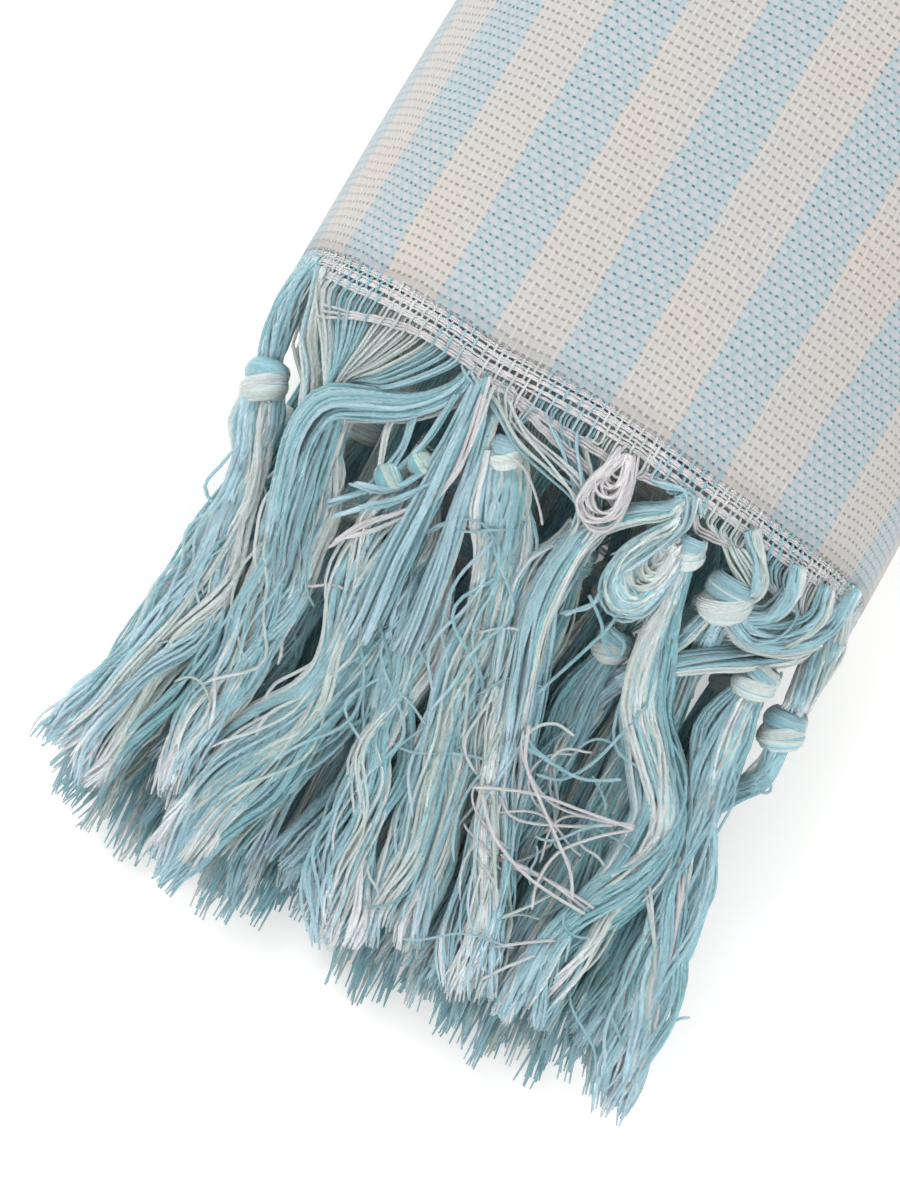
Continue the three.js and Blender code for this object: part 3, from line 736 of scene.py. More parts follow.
def tail(
    middle, aside, spread, count, order, cream, rows, locks=5, sway=0.9, sunk=0, light=0.6
):
    """Threads from a knot to their cut ends, in locks that cross and part. middle and aside are the
    tail's middle line and the direction across it. A sunk tail rises from under its neighbours."""
    random = np.random.default_rng(4017 + order)
    fine = np.linspace(0, 1, len(middle))
    length = np.linalg.norm(np.diff(middle, axis=0), axis=1).sum()
    loose = min(1, length / STRAIGHT_BELOW) ** 2
    lock = random.integers(0, locks, count)
    escaped = random.random(count) < ESCAPED * loose
    # locks end unevenly, and so do the threads of each
    reach = 1 - 0.07 * random.random(locks)[lock] - 0.1 * random.random(count) ** 2
    reach = np.where(escaped, 0.5 + 0.48 * random.random(count), reach)
    share = reach[:, None] * np.linspace(0, 1, rows)
    centre = np.stack([np.interp(share, fine, middle[:, k]) for k in range(3)], -1)
    across = np.stack([np.interp(share, fine, aside[:, k]) for k in range(3)], -1)
    lock_place = 2 * lock / (locks - 1) - 1
    widening = spread[0] + (spread[1] - spread[0]) * ease(share, 0.2, 1)
    open_up = TIED + (1 - TIED) * ease(share, 0, 0.14)
    lock_sway = soft_noise(random, locks, rows, 1.5)[lock] * loose
    lock_rise = soft_noise(random, locks, rows, 0.9)[lock] * loose
    side = (lock_place[:, None] * widening + sway * lock_sway) * open_up
    rise = (lock_rise + 1.1 * (1 - lock_place[:, None] ** 2)) * open_up
    rise = rise - sunk * (1 - ease(share, 0, 0.15))
    # each thread turns round the middle of its lock
    angle = 2 * np.pi * random.random(count)
    away = np.sqrt(random.random(count))
    twist = angle[:, None] + 1.8 * share + 0.7 * random.normal(0, 1, (locks, 1))[lock]
    width = LOCK_RADIUS + LOCK_GROWS * ease(share, 0, 0.4)
    side = side + away[:, None] * np.cos(twist) * width
    rise = rise + away[:, None] * np.sin(twist) * width
    fray = loose * (1 + 1.8 * ease(share, 0.75, 1))
    side = side + 0.33 * soft_noise(random, count, rows, 2.1) * open_up * fray
    rise = rise + 0.2 * soft_noise(random, count, rows, 1.9) * open_up * fray
    stray = escaped[:, None] * open_up * ease(share, 0, 0.3)
    side = side + stray * soft_noise(random, count, rows, 1.1) * 3
    rise = rise + stray * (0.4 + np.abs(soft_noise(random, count, rows, 0.8)) * 1.4)
    points = centre + across * side[..., None]
    points[..., 2] = np.maximum(points[..., 2] + rise, 0.4)
    # the cream threads are those with the least streak, mostly whole locks or one side of a lock
    lock_tint = random.permutation(np.linspace(-1, 1, locks))
    streak = 0.9 * lock_tint[lock] + 0.4 * np.cos(angle) + 0.25 * random.normal(0, 1, count)
    limit = np.quantile(streak, cream)
    radii = THREAD_RADIUS * (0.85 + 0.35 * random.random(count))
    tone = light + 0.13 * random.normal(0, 1, locks)[lock] + 0.1 * random.normal(0, 1, count)
    # Painted light and shade: a thread is painted lighter the higher it lies in its lock, darker
    # underneath
    tone = np.clip(tone + 0.12 * np.sin(twist[:, 0]) * away, 0.02, 1)
    return [
        (points[n], radii[n], CREAM if streak[n] < limit else AQUA, tone[n]) for n in range(count)
    ], random


def top_way(start, tail_way):
    """The middle line of a top tassel and the direction across it."""
    flat = curve([start, *tail_way], WAY_ROWS)
    ahead = np.gradient(flat, axis=0)
    ahead /= np.linalg.norm(ahead, axis=1)[:, None]
    aside = np.stack([-ahead[:, 1], ahead[:, 0], np.zeros(WAY_ROWS)], 1)
    return on_top(flat[:, 0], flat[:, 1]), aside


for number, (start, radius, sunk, way, spread, count, cream) in enumerate(TOP_TASSELS):
    middle, aside = top_way(start, way)
    if count < FULL_HANK:
        middle[:, 2] -= DIVE * ease(np.arange(WAY_ROWS) / (WAY_ROWS - 1), 0.25, 1)
    locks = 9 if count > FULL_HANK else 4
    hank, random = tail(
        middle, aside, spread, count, number, cream, TOP_ROWS, locks, sway=2.2, sunk=2 * sunk
    )
    centre = middle[0] - np.array([0, 0, sunk])
    hank += knot(centre, middle[4] - middle[0], radius, random, number in (1, 4), 26)
    piece = threads(f"top_tassel_{number + 1}", hank, random)
    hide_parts(f"tassel_1_{number + 1}")

# The lower tassels: warp ends of the towel's inner plies, knotted in the same way. They lie in four
# layers under the top ones and sink to the surface, so that only tips and gaps show them.
LAYERS = [  # height in the pile, tassels, first and last across, bow, drift, reach
    (0.77, 8, -42, 45, 3, 1, 90),
    (0.52, 8, -45, 45, -3, 7, 94),
    (0.28, 7, -42, 45, 2, 2, 98),
    (0.04, 6, -34, 38, -2, 5, 98),
]
FAN = 8  # how far the outermost tips splay
BODY_HALF_WIDTH = 59
KNOT_DROPS = [24, 13, 22, 15, 23, 11, 20, 17, 10, 15, 21]  # from the hem to the knots
ROOT_REACH = 50  # half the width over which warp ends leave an inner ply
ROOT_Y = 4.5  # inside the hem, where they start
GATHERED, GATHER_ROWS = 14, 14  # warp ends drawn into each knot, and points of each
LOWER_KNOT = 3.4


def in_fringe(layer, across, along):
    """Points of a lower layer: where they left the cloth and the share of the way to the tips."""
    level, _, _, _, bow, drift, reach = layer
    aside = drift + FAN * across / BODY_HALF_WIDTH
    x = across + aside * np.maximum(along, 0) ** 1.3 + bow * np.sin(np.pi * along)
    return np.stack([x, -reach * along, layer_height(level, across, along)], -1)


def gather(root, goal, random, spread, place_in):
    """A warp end on its way from the hem of an inner ply into its knot."""
    mid = (root + goal) / 2 + np.array([0, 0, random.normal(0.6, 0.5)])
    mid[0] = root[0] + (goal[0] - root[0]) * 0.62
    end = goal + np.array([place_in * spread, 0, random.normal(0, 0.8)])
    return curve([root, root + np.array([0, -1.5, 0]), mid, end], GATHER_ROWS)


order = len(TOP_TASSELS)
lower_knots = []
for depth, layer in enumerate(LAYERS):
    _, row_count, first_x, last_x, _, _, reach = layer
    pitch = (last_x - first_x) / (row_count - 1)
    for number in range(row_count):
        across = first_x + pitch * number
        knot_at = KNOT_DROPS[order % len(KNOT_DROPS)] / reach
        end = 1 - 0.05 * (1 + math.sin(2.4 * order))
        ways = np.linspace(knot_at, end, WAY_ROWS)
        middle = in_fringe(layer, np.full(WAY_ROWS, float(across)), ways)
        aside = np.tile([1.0, 0, 0], (WAY_ROWS, 1))
        count = 84 if depth == 0 else 64
        rows = 17 if depth == 0 else 15
        # Painted shade: each deeper layer is painted a little darker, toward the teal shade colour
        light = 0.5 - 0.06 * depth
        hank, random = tail(middle, aside, (2.8, 4.8), count, order, 0.2, rows, light=light)
        hank += knot(middle[0], middle[4] - middle[0], LOWER_KNOT, random, order % 2 == 0, 12)
        for place_in in np.linspace(-1, 1, GATHERED):
            root_x = np.clip(across + place_in * pitch * 0.46, -ROOT_REACH, ROOT_REACH)
            root = in_fringe(layer, root_x, 0.0)
            root[1] = ROOT_Y
            path = gather(root, middle[0], random, 1.6, place_in)
            colour = AQUA if (place_in > 0) != (number % 2 == 0) else CREAM
            # Painted shade: warp ends under the top layers are painted dark
            hank.append((path, THREAD_RADIUS, colour, 0.3))
        piece = threads(f"lower_tassel_{depth + 2}_{number + 1}", hank, random)
        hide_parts(f"tassel_{depth + 2}_{number + 1}")
        lower_knots.append(middle[0])
        order += 1

# The raw hem: nothing holds the last weft but the warp ends drawn into the knots, so the last picks
# lie loose. The warp ends run on past them, bunch up and sweep into the knots.
PICKS = np.array([4.5, 2.7, 0.7])  # from the hem
PICK_STRAND = 0.3
STRAND_GAP = 0.47  # between a pick's three strands
HEM_WARP = 0.27
HEM_DEPTH = 0.55  # of the threads' middle inside the outer face
HEM_BACK, HEM_ROWS = 6.2, 18  # how far inside the hem its warp ends start
HEM_WAY_ROWS = 30
TOP_ONLY = 44  # height above which the warp ends reach the top tassels
SIDES_FROM = 55  # and so do those this far out, at the sides of the roll
GATHER_SAG = 0.12  # a bundle that sags more than this hangs down on its way
GATHERS = [  # hem from x to x, the bundle's way (x, y, z), first and last half width, sag
    ((-60, -53), [(-55.4, -5, 52), (-54, -11, 49)], (1.8, 1.6), 0.1),
    ((-53, -24), [(-40.8, -11.6, 60.6), (-38.6, -17, 58.4), (-37.6, -22.5, 54.6), (-37.4, -28, 50)],
     (2.4, 3.4), 0.42),
    ((-24, -17), [(-15.5, -3.6, 73.7), (-9.1, -6.8, 72.6), (-2.3, -8.1, 72), (4.1, -9.4, 70.5),
                  (8.6, -12.4, 67.5), (9.4, -17.4, 62.5)], (1.6, 2.2), 0.1),
    ((-17, -8), [(-11.5, -5.4, 71.6), (-10.2, -8.2, 69.5)], (1.6, 1.8), 0.1),
    ((-8, 3), [(-1, -3.4, 72.8), (5.2, -8, 70.3), (8.2, -12.4, 66), (9, -18.5, 61.5)],
     (2.4, 2.4), 0.1),
    ((3, 12), [(7.5, -5, 70.5), (9.4, -12, 64), (10, -20, 57)], (2.4, 1.6), 0.1),
    ((12, 25), [(20.6, -0.5, 72.6), (21.6, -5, 70.8), (18.4, -11.2, 69), (15.8, -15.6, 66)],
     (1.8, 1.9), 0.1),
    ((25, 38), [(33, -3.6, 67), (38.6, -7.6, 62.6), (37.2, -9.6, 61.6)], (2.2, 1.8), 0.15),
    ((38, 51), [(49, -6, 56.2), (46.4, -10.6, 56.4), (41.4, -12.6, 57.4), (36.8, -11.4, 60.4)],
     (2.2, 1.6), 0.3),
    ((51, 60), [(56, -5, 50.4), (55.8, -11, 47.6), (56, -18, 45)], (2.2, 1.8), 0.1),
]
hem_random = np.random.default_rng(88)
warps = int(PERIMETER / WARP_PITCH)
warp_share = (STRIPE_START + (np.arange(warps) + 0.5) * WARP_PITCH) / PERIMETER % 1
warp_x, _ = on_section(warp_share, HEM_DEPTH + lap_lift(warp_share))


def gathered(x, z, hem):
    """The way of one warp end past the hem, by the bundle that it joins."""
    start = np.array([x, hem - 0.4, z])
    if z > TOP_ONLY or abs(x) > SIDES_FROM:
        for (left, right), way, width, sag in GATHERS:
            if not left <= x < right:
                continue
            side = (x - left) / (right - left) * 2 - 1
            corners = [start, start + np.array([0.1 * side, -1.6, 0.1])]
            reach = way[0][0] - x
            if sag > GATHER_SAG:  # the thread hangs below the straight way to its bundle
                halfway = x + 0.5 * reach
                drop = start[1] + 0.5 * (way[0][1] - start[1]) - sag * abs(reach) * 0.5 - 0.6
                corners.append(on_top(halfway, drop, hem_random.uniform(0, 1.6)))
            lift = hem_random.uniform(-1, 1)
            for step, point in enumerate(way):  # and turns round the bundle's middle
                t = step / max(len(way) - 1, 1)
                size = width[0] + (width[1] - width[0]) * t
                ahead = np.subtract(way[min(step + 1, len(way) - 1)], way[max(step - 1, 0)])
                across = np.array([-ahead[1], ahead[0], 0])
                across = across / max(np.linalg.norm(across), 1e-6)
                swirl = 2.6 * t * (1 if left < 0 else -1)
                offset = side * math.cos(swirl) - lift * math.sin(swirl)
                height = lift * math.cos(swirl) + side * math.sin(swirl)
                raised = np.array([0, 0, height * size * 0.7])
                corners.append(np.array(point) + across * offset * size + raised)
            return curve(corners, HEM_WAY_ROWS)
    near = min(lower_knots, key=lambda k: abs(k[0] - x) + 1.2 * abs(k[2] - z))
    return gather(start, near, hem_random, 1.8, hem_random.uniform(-1, 1))


hem_strands = []
for warp in range(warps):
    hem = float(hem_y(warp_x[warp]))
    y = np.linspace(HEM_BACK, 0, HEM_ROWS)
    phase = np.interp(y, PICKS[::-1], np.arange(len(PICKS))[::-1])
    up = 0.3 * np.cos(np.pi * phase) * (1 if warp % 2 else -1)
    leaning = hem_random.normal(0, 0.2) * ease(y, 7, 0)
    inside = 0.8 * ease(y, SHELL_START - 0.1, SHELL_START + 0.7)
    depth = HEM_DEPTH + lap_lift(warp_share[warp]) - up + inside
    x, z = on_section(warp_share[warp] + leaning / PERIMETER, depth)
    colour = AQUA if (warp // STRIPE_WARPS) % 2 else CREAM
    free = gathered(x[-1], z[-1], hem)
    if z[-1] > TOP_ONLY:  # and one from the ply below
        under = gathered(x[-1] + 0.5 * WARP_PITCH, z[-1] - 0.8, hem + 0.5)
        under[:, 2] -= 0.9 * ease(np.arange(len(under)) / len(under), 0, 0.3)
        hem_strands.append((under, HEM_WARP, colour))
    woven = np.stack([x, y + hem, z], -1)
    radius = HEM_WARP + 0.04 * hem_random.random()
    hem_strands.append((np.concatenate([woven, free[1:]]), radius, colour))
shares = np.linspace(0, 1, 2 * warps + 1)
phase = (shares * PERIMETER - STRIPE_START) / WARP_PITCH - 0.5
for number, pick in enumerate(PICKS):
    wave = 0.2 * np.cos(np.pi * phase) * (1 if number % 2 else -1)
    for strand in (-1, 0, 1):
        drift = 0.1 * (1 + number) * soft_noise(hem_random, 1, len(shares), 9)[0]
        x, z = on_section(shares, HEM_DEPTH + lap_lift(shares) + wave)
        y = hem_y(x) + pick + strand * STRAND_GAP + drift * 0.6
        hem_strands.append((np.stack([x, y, z], -1), PICK_STRAND, WHITE))
hem_piece = threads("raw_hem_threads", hem_strands, hem_random)

# Picks that have slid off the hem: weft ribbons that nothing holds any more. Each is three white
# strands that sag over the warp ends and splay where they end.
PICK_ROWS = 90
SLID_STRAND = 0.28
SLID_OVER = 0.7  # height over the warp ends
SLID_PICKS = [  # x across and distance past the hem
    [(-50, 5.6), (-46, 4.4), (-38, 2), (-28.7, 0.8), (-18.6, 1.3), (-5.8, 2.6), (7, 2.8),
     (18.6, 0.7)],
    [(-15, 1.6), (-6, 4.3), (3.4, 6), (12, 8.4)],
    [(22.3, 0.3), (24.4, 3.4), (29, 3.2), (34.3, 2.4), (42.8, 4.8), (50, 6)],
]
loose_random = np.random.default_rng(12)
slid = []
for number, corners in enumerate(SLID_PICKS):
    line = curve(corners, PICK_ROWS)
    for strand in (-1, 0, 1):
        splay = 0.48 + 0.5 * ease(-np.linspace(0, 1, PICK_ROWS), -0.12, 0)
        wander = 0.08 * np.sin(line[:, 0] / 2 + strand)
        y = hem_y(line[:, 0]) - line[:, 1] + strand * splay + wander
        height = layer_height(1, line[:, 0], -y / TOP_REACH) + SLID_OVER
        over = 0.3 * np.sin(line[:, 0] * 2.1 + number)
        slid.append((np.stack([line[:, 0], y, height + over], -1), SLID_STRAND, WHITE))
threads("slid_weft_picks", slid, loose_random)

# Bundles between the knots: warp ends of the same twisted cotton, which were swept aside or doubled
# back before the knots were tied. They bulge in their middle, and one makes a fat loop.
BUNDLE_ROWS, LOOP_ROWS = 28, 30
BUNDLES = [  # way, width at start, middle and end, threads, share of cream
    ([(-54.4, 8, 50.6), (-55.6, 1, 51.6), (-55, -6, 50.8), (-53.4, -12.4, 48.2)],
     (1.2, 2.7, 2.2), 70, 0.1),
    ([(-53.4, 6, 55.4), (-51.6, 0, 54.8), (-49.2, -7, 55), (-45.4, -12.6, 56), (-43, -18, 53.4)],
     (1.2, 1.7, 1.4), 26, 0.9),
    ([(-21, 0, 72.8), (-22.4, -5.4, 70.2), (-28, -10.8, 66.4), (-35, -13.4, 62.6), (-40, -16, 60.6),
      (-41.4, -21.4, 57.4), (-40, -29, 51.6), (-37.6, -38, 42.6)], (1.4, 3.4, 2.2), 76, 0.12),
    ([(54.6, 6, 49), (53.4, -3.6, 51), (48.4, -9.8, 53.4), (41.8, -12.8, 56.6),
      (36.4, -11.2, 60.6)], (1.4, 2.8, 2.0), 76, 0.2),
    ([(33, 1, 68.4), (36.4, -2.6, 66), (38.4, -6.4, 63), (36.8, -9, 62)], (1.4, 2.2, 1.6),
     36, 0.85),
    ([(43, 1, 62.4), (44.6, -4, 60.6), (42.8, -9, 58.8), (37.6, -11, 60)], (1.4, 2.3, 1.6),
     44, 0.3),
    ([(49.6, 2, 57), (50.4, -3.6, 55.6), (47, -8.6, 56), (41, -11.4, 58)], (1.4, 2.3, 1.6),
     44, 0.25),
    ([(54, 1, 47.6), (51.4, -9.4, 49.6), (45, -14.8, 51.6), (38, -19.4, 52.6), (32, -23.6, 50),
      (27, -28, 44)], (1.2, 2.3, 1.8), 50, 0.5),
    ([(35, -11, 60), (33, -17, 54), (30.4, -22.6, 48), (27, -28, 41), (24, -34, 34)],
     (1.6, 1.6, 2.0), 34, 0.5),
    ([(53.4, 6, 49), (55.4, -3, 49), (55.8, -10, 47.2), (56.2, -16.4, 44.6)], (1.4, 3, 2.4),
     84, 0.92),
    ([(-19.8, 0, 73.4), (-18.4, -7, 71.4), (-18, -13, 67.6), (-17.6, -20, 61.4), (-17.4, -28, 55),
      (-17, -36, 48.6), (-16.6, -44, 40.6)], (1.0, 2.6, 3.6), 64, 0.28),
    ([(-16, 0, 73.4), (-14.4, -8, 70), (-12.6, -16, 64.8), (-10.8, -24, 58.2), (-9, -33, 50.6),
      (-7.6, -42, 41)], (0.8, 1.8, 2.6), 40, 0.5),
    ([(20.6, 0, 72.4), (19, -4, 70.8), (14, -7.6, 68.8), (9.6, -11.6, 66), (8, -18, 61.6),
      (8.4, -27, 55), (11.4, -36, 47.4), (15, -45, 38)], (1.2, 2.9, 2.8), 70, 0.42),
    ([(-40.6, -11.2, 60), (-38.4, -17, 58.2), (-37.4, -24, 53.4), (-36.4, -32, 47.8),
      (-33.6, -42, 38)], (1.6, 3.6, 3.4), 70, 0.3),
]
bundle_strands = []
for way, widths, count, cream in BUNDLES:
    line = curve(way, BUNDLE_ROWS)
    across, above = frames_along(line[None])
    t = np.linspace(0, 1, BUNDLE_ROWS)
    width = np.interp(t, (0, 0.5, 1), widths)
    for _ in range(count):
        angle = 2 * np.pi * loose_random.random()
        away = math.sqrt(loose_random.random())
        twist = angle + 1.3 * t + 0.2 * soft_noise(loose_random, 1, BUNDLE_ROWS, 1)[0]
        offset = across[0] * np.cos(twist)[:, None] + above[0] * np.sin(twist)[:, None]
        path = line + offset * (away * width)[:, None]
        path[:, :2] += 0.18 * soft_noise(loose_random, 2, BUNDLE_ROWS, 1.6).T
        colour = CREAM if (math.cos(angle) + 1) / 2 < cream else AQUA
        radius = THREAD_RADIUS * (0.9 + 0.3 * loose_random.random())
        bundle_strands.append((path, radius, colour))


def doubled_over(way, count, innermost, width, colours, random):
    """Threads doubled over in a teardrop, the inner ones in ever smaller loops."""
    line = curve(way, LOOP_ROWS)
    root = (line[0] + line[-1]) / 2
    pivot = root + (line.mean(0) - root) * 0.2
    strands = []
    for _ in range(count):
        size = innermost + (1 - innermost) * random.random() ** 0.7
        path = pivot + (line - pivot) * size
        path[:, 2] += 1.6 * (1 - size)
        path += width * random.uniform(-1, 1, 3) + 0.5 * soft_noise(random, 3, LOOP_ROWS, 0.9).T
        outer, inner = colours
        colour = outer if size > 0.72 + 0.12 * random.normal() else inner
        strands.append((path, THREAD_RADIUS * (0.9 + 0.3 * random.random()), colour))
    return strands


FAT_LOOP = [(20.4, -1.6, 71.6), (21, -5, 70.6), (18, -10, 68.4), (15.6, -15, 65.4),
            (16.2, -19.6, 62), (19.6, -22, 60), (23, -20.4, 61), (24.4, -15.4, 64),
            (24.8, -10, 66.8)]
bundle_strands += doubled_over(FAT_LOOP, 140, 0.14, 0.9, (AQUA, CREAM), loose_random)
threads("doubled_bundles", bundle_strands, loose_random)

# Loose threads: ends that slipped out of the knots, a thread loop that hangs from the hem, a small
# fan of cut ends, and flyaways that curl over the tassels.
LOOSE_ROWS, CURL_ROWS = 40, 24
LOOSE_RADIUS, CURL_RADIUS = 0.36, 0.28
CURL_AREAS = [  # from and to across, from and to along, curls
    (14, 44, -78, -42, 18),
    (-46, 52, -86, -26, 12),
    (-20, 10, -40, -16, 6),
]
COILS = [((-25.3, -21.2, 59.6), 2.1), ((-21.6, -17.2, 63), 1.9)]  # middle and radius
COIL_LIGHT = 0.25
LOOSE = [  # colour, way (x, y) and lift over the tassels, and how many lie side by side
    (WHITE, [(-18.6, -1.6), (-16.6, -10.1), (-16, -18.3), (-19.8, -24.4), (-25, -29.5),
     (-28, -34.5)], 3.2, 2),
    (AQUA, [(-19.2, -1.9), (-18.1, -10.9), (-17.9, -18.4), (-22, -24.1), (-26.7, -27.4),
     (-29.7, -30.2)], 2.8, 5),
    (AQUA, [(-20, -3.2), (-19.4, -13.2), (-20.6, -18.8), (-24.5, -23.3), (-30.1, -24.6)], 2.4, 4),
    (CREAM, [(-17.7, -2.4), (-15.6, -13.1), (-16.5, -21.9), (-19.7, -26), (-23.7, -30.5),
     (-27.7, -33.5)], 3, 2),
    (AQUA, [(-17.7, -3.4), (-14.6, -13.1), (-12.5, -21.9), (-10.7, -33), (-9.7, -44)], 2.6, 3),
    (WHITE, [(42.5, -48.5), (33.3, -50.4), (25, -51.9), (18.4, -54.3), (14.5, -56.2)], 4.4, 1),
    (WHITE, [(42.4, -47.8), (35.4, -50.5), (28, -51.8), (22.7, -50), (18.5, -46.8), (17, -44)],
     3.6, 1),
    (WHITE, [(41.9, -47.7), (32.3, -53.6), (23.1, -56.8), (19.3, -54.8)], 3, 1),
    (WHITE, [(17.3, -43.2), (20.3, -48.6), (26.2, -52.8), (32.6, -56.9), (37.1, -60.1),
     (39.7, -63.6)], 5, 1),
    (WHITE, [(16.5, -56.3), (21.7, -61.1), (29.6, -64), (36.2, -64.6), (43, -64.6)], 4.4, 1),
    (CREAM, [(19, -56.8), (23.8, -63.8), (26.8, -68), (29, -71.3)], 4, 1),
    (CREAM, [(17.6, -45.5), (18.7, -42.6), (21.4, -40.6), (25.1, -40.6)], 3.4, 1),
    (WHITE, [(42.5, -48.5), (37.2, -53.3), (33.3, -58.4), (33, -64.4), (34.5, -68.5)], 3.8, 1),
    (WHITE, [(43.6, -63.3), (35.3, -63.1), (28.9, -62.8), (25, -63.1)], 2.6, 2),
    (CREAM, [(36.2, -64.6), (33, -69.4), (29.3, -73.5), (26, -74.8)], 2.6, 1),
    (WHITE, [(42.5, -69.9), (37.4, -73.4), (32.4, -77.1), (28.4, -79.7)], 2.6, 1),
    (CREAM, [(39.3, -74.8), (35.2, -80.2), (33, -83.5)], 2.6, 1),
    (AQUA, [(33, -30.5), (31.8, -37.6), (30.3, -43), (27.2, -47.5), (23, -48.9)], 3, 1),
    (AQUA, [(20, -46), (24.3, -46.3), (30.2, -45.8), (36.2, -42.5)], 3.4, 1),
    (AQUA, [(17.6, -45.5), (21.9, -45.8), (24.4, -45.8)], 3, 2),
    (AQUA, [(-27, -10), (-25.5, -17), (-27.5, -24), (-32, -29)], 1.6, 3),
    (AQUA, [(-22, -6), (-23, -16), (-27, -25)], 1.4, 3),
    (CREAM, [(-30, -13), (-28, -19), (-24, -25)], 1.4, 2),
    (CREAM, [(-45.8, -35.4), (-47.9, -39), (-48.2, -42.8), (-46.7, -46.9), (-43.2, -50.7)], 2, 1),
    (AQUA, [(56, -77.2), (62.1, -80.8), (64.9, -78.5), (65.5, -74.1), (66.9, -71.3),
     (68.4, -70.2)], 1, 1),
    (AQUA, [(14.6, -21.5), (19, -24.2), (21.2, -26.5), (24.2, -27), (24.3, -24.8), (21, -24)],
     2.6, 1),
    (AQUA, [(20.4, -11.3), (19.9, -16.9), (20.5, -23.4), (19.4, -27.5), (15.7, -38.3)], 3, 1),
    (AQUA, [(16.2, -18.1), (15.8, -22.6), (12.3, -26.1)], 2.4, 2),
    (CREAM, [(49.7, -54.8), (56.7, -62.7), (62, -71.1), (63.5, -76)], 2, 2),
    (WHITE, [(52.4, -47.3), (56.9, -54.6), (59.3, -61.2), (61.2, -72.1)], 2, 2),
]
loose_strands = []
for colour, way, lift, count in LOOSE:
    line = curve(way, LOOSE_ROWS)
    for number in range(count):
        shifted = line + 0.45 * (number - (count - 1) / 2) * np.array([0.8, 0.6])
        shifted = shifted + 0.4 * soft_noise(loose_random, 2, LOOSE_ROWS, 0.8).T * (count > 1)
        height = lift + 0.5 * np.sin(np.linspace(0, 5, LOOSE_ROWS) + number)
        path = on_top(shifted[:, 0], shifted[:, 1], height)
        path[:, 2] += 0.12 * number
        loose_strands.append((path, LOOSE_RADIUS, colour))
WHITE_LOOP = [(6.6, 0, 74), (6, -4.5, 74), (4.8, -8.8, 72), (5, -12, 69.6), (8, -13.8, 68.4),
              (11.2, -12.4, 69.4), (12, -9, 71.6), (11, -5, 73.4), (9, 0, 74)]
loose_strands += doubled_over(WHITE_LOOP, 24, 0.25, 0.8, (WHITE, WHITE), loose_random)


def curl(start, heading, length, bend, lift):
    """A cut end that lies in a bow over the tassels."""
    steps = np.linspace(0, 1, CURL_ROWS)
    angle = heading + bend * steps + 0.5 * np.sin(steps * 5 + heading)
    x = start[0] + length / CURL_ROWS * np.cumsum(np.cos(angle))
    y = start[1] + length / CURL_ROWS * np.cumsum(np.sin(angle))
    return on_top(x, y, lift * np.sin(np.pi * (0.15 + 0.7 * steps)))


for left, right, far, near, count in CURL_AREAS:
    for _ in range(count):
        start = (loose_random.uniform(left, right), loose_random.uniform(far, near))
        heading = loose_random.normal(-math.pi / 2, 1.3)
        length = loose_random.uniform(7, 24)
        bend = loose_random.normal(0, 1.2)
        path = curl(start, heading, length, bend, loose_random.uniform(2, 4.4))
        colour = (AQUA, AQUA, CREAM, WHITE)[loose_random.integers(0, 4)]
        loose_strands.append((path, CURL_RADIUS, colour))
for centre, radius in COILS:
    coil = knot(np.array(centre), np.array([0.7, 0.5, 0.3]), radius, loose_random, False)
    loose_strands += [(*strand, COIL_LIGHT) for strand in coil]
threads("loose_threads", loose_strands, loose_random)

# The surface it lies on: a plain sheet of pale painted board, wide enough to fill the picture. It
# is matt, and lit from below as well, so that shadows stay soft.
FLOOR_HALF = 3
FLOOR_DROP = 0.0002  # in metres, as the half width is
floor_corners = np.array([(-1, -1, 0), (1, -1, 0), (1, 1, 0), (-1, 1, 0)]) * FLOOR_HALF
floor = build("floor", floor_corners - [0, 0, FLOOR_DROP], np.array([[0, 1, 2, 3]]))
board_finish = {
    "Base Color": linear("#F4F4F2"),
    "Roughness": 0.9,
    "Emission Color": linear("#FFFFFF"),
    "Emission Strength": 0.2,
}
floor.data.materials.append(principled("pale_floor", board_finish))

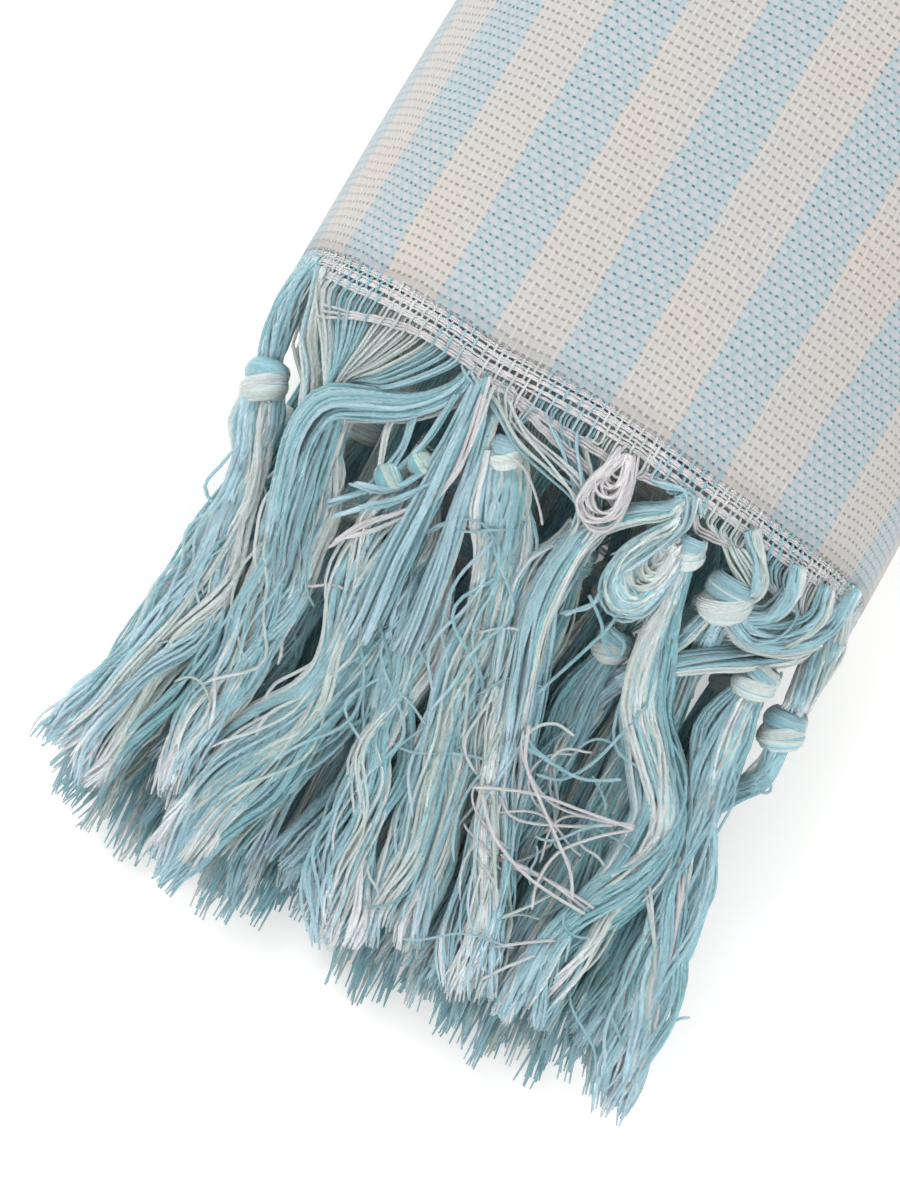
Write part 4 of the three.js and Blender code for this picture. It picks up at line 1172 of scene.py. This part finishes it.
# Camera: nearly above the fringe, tipped a little from the fringe's side and turned, so that the
# roll runs up to the right.
PHOTO_PIXELS_PER_MM = 6
PHOTO_HEIGHT = 1200
SENSOR = 36
CAMERA_DISTANCE = 700
ELEVATION = math.radians(78)
AXIS_ANGLE = math.radians(59.6)
target = Vector(place(np.array([-5.5, -37.8, 75.3])))
back = Vector((0, -math.cos(ELEVATION), math.sin(ELEVATION)))
along_roll = Vector((0, math.sin(ELEVATION), math.cos(ELEVATION)))
across_roll = Vector((1, 0, 0))
right = along_roll * math.cos(AXIS_ANGLE) + across_roll * math.sin(AXIS_ANGLE)
up = along_roll * math.sin(AXIS_ANGLE) - across_roll * math.cos(AXIS_ANGLE)
camera_data = bpy.data.cameras.new("camera")
camera_data.sensor_width = SENSOR
camera_data.lens = SENSOR * CAMERA_DISTANCE / (PHOTO_HEIGHT / PHOTO_PIXELS_PER_MM)
camera_data.clip_end = 20
camera = bpy.data.objects.new("camera", camera_data)
bpy.context.scene.collection.objects.link(camera)
turn = Matrix((right, up, back)).transposed()
camera.matrix_world = Matrix.Translation(target + back * CAMERA_DISTANCE * MM) @ turn.to_4x4()
bpy.context.scene.camera = camera

# Soft studio light: a bright white room, with a large soft box on the left and a weaker one in
# front, both above the towel.
SOFT_BOXES = {  # place and width in metres, watts
    "soft_box_left": ((-0.9, 0.35, 1.3), 0.9, 10),
    "soft_box_front": ((0.5, -1.1, 1.1), 0.9, 4),
}
world = bpy.data.worlds.new("studio")
world.use_nodes = True
background = world.node_tree.nodes["Background"]
background.inputs[0].default_value = linear("#FFFFFF")
background.inputs[1].default_value = 1.0
bpy.context.scene.world = world
for name, (position, width, power) in SOFT_BOXES.items():
    lamp = bpy.data.lights.new(name, "AREA")
    lamp.size = width
    lamp.energy = power
    lamp_piece = bpy.data.objects.new(name, lamp)
    bpy.context.scene.collection.objects.link(lamp_piece)
    lamp_piece.location = position
    facing = (target - Vector(position)).to_track_quat("-Z", "Y")
    lamp_piece.rotation_euler = facing.to_euler()
bpy.context.scene.view_settings.view_transform = "Standard"
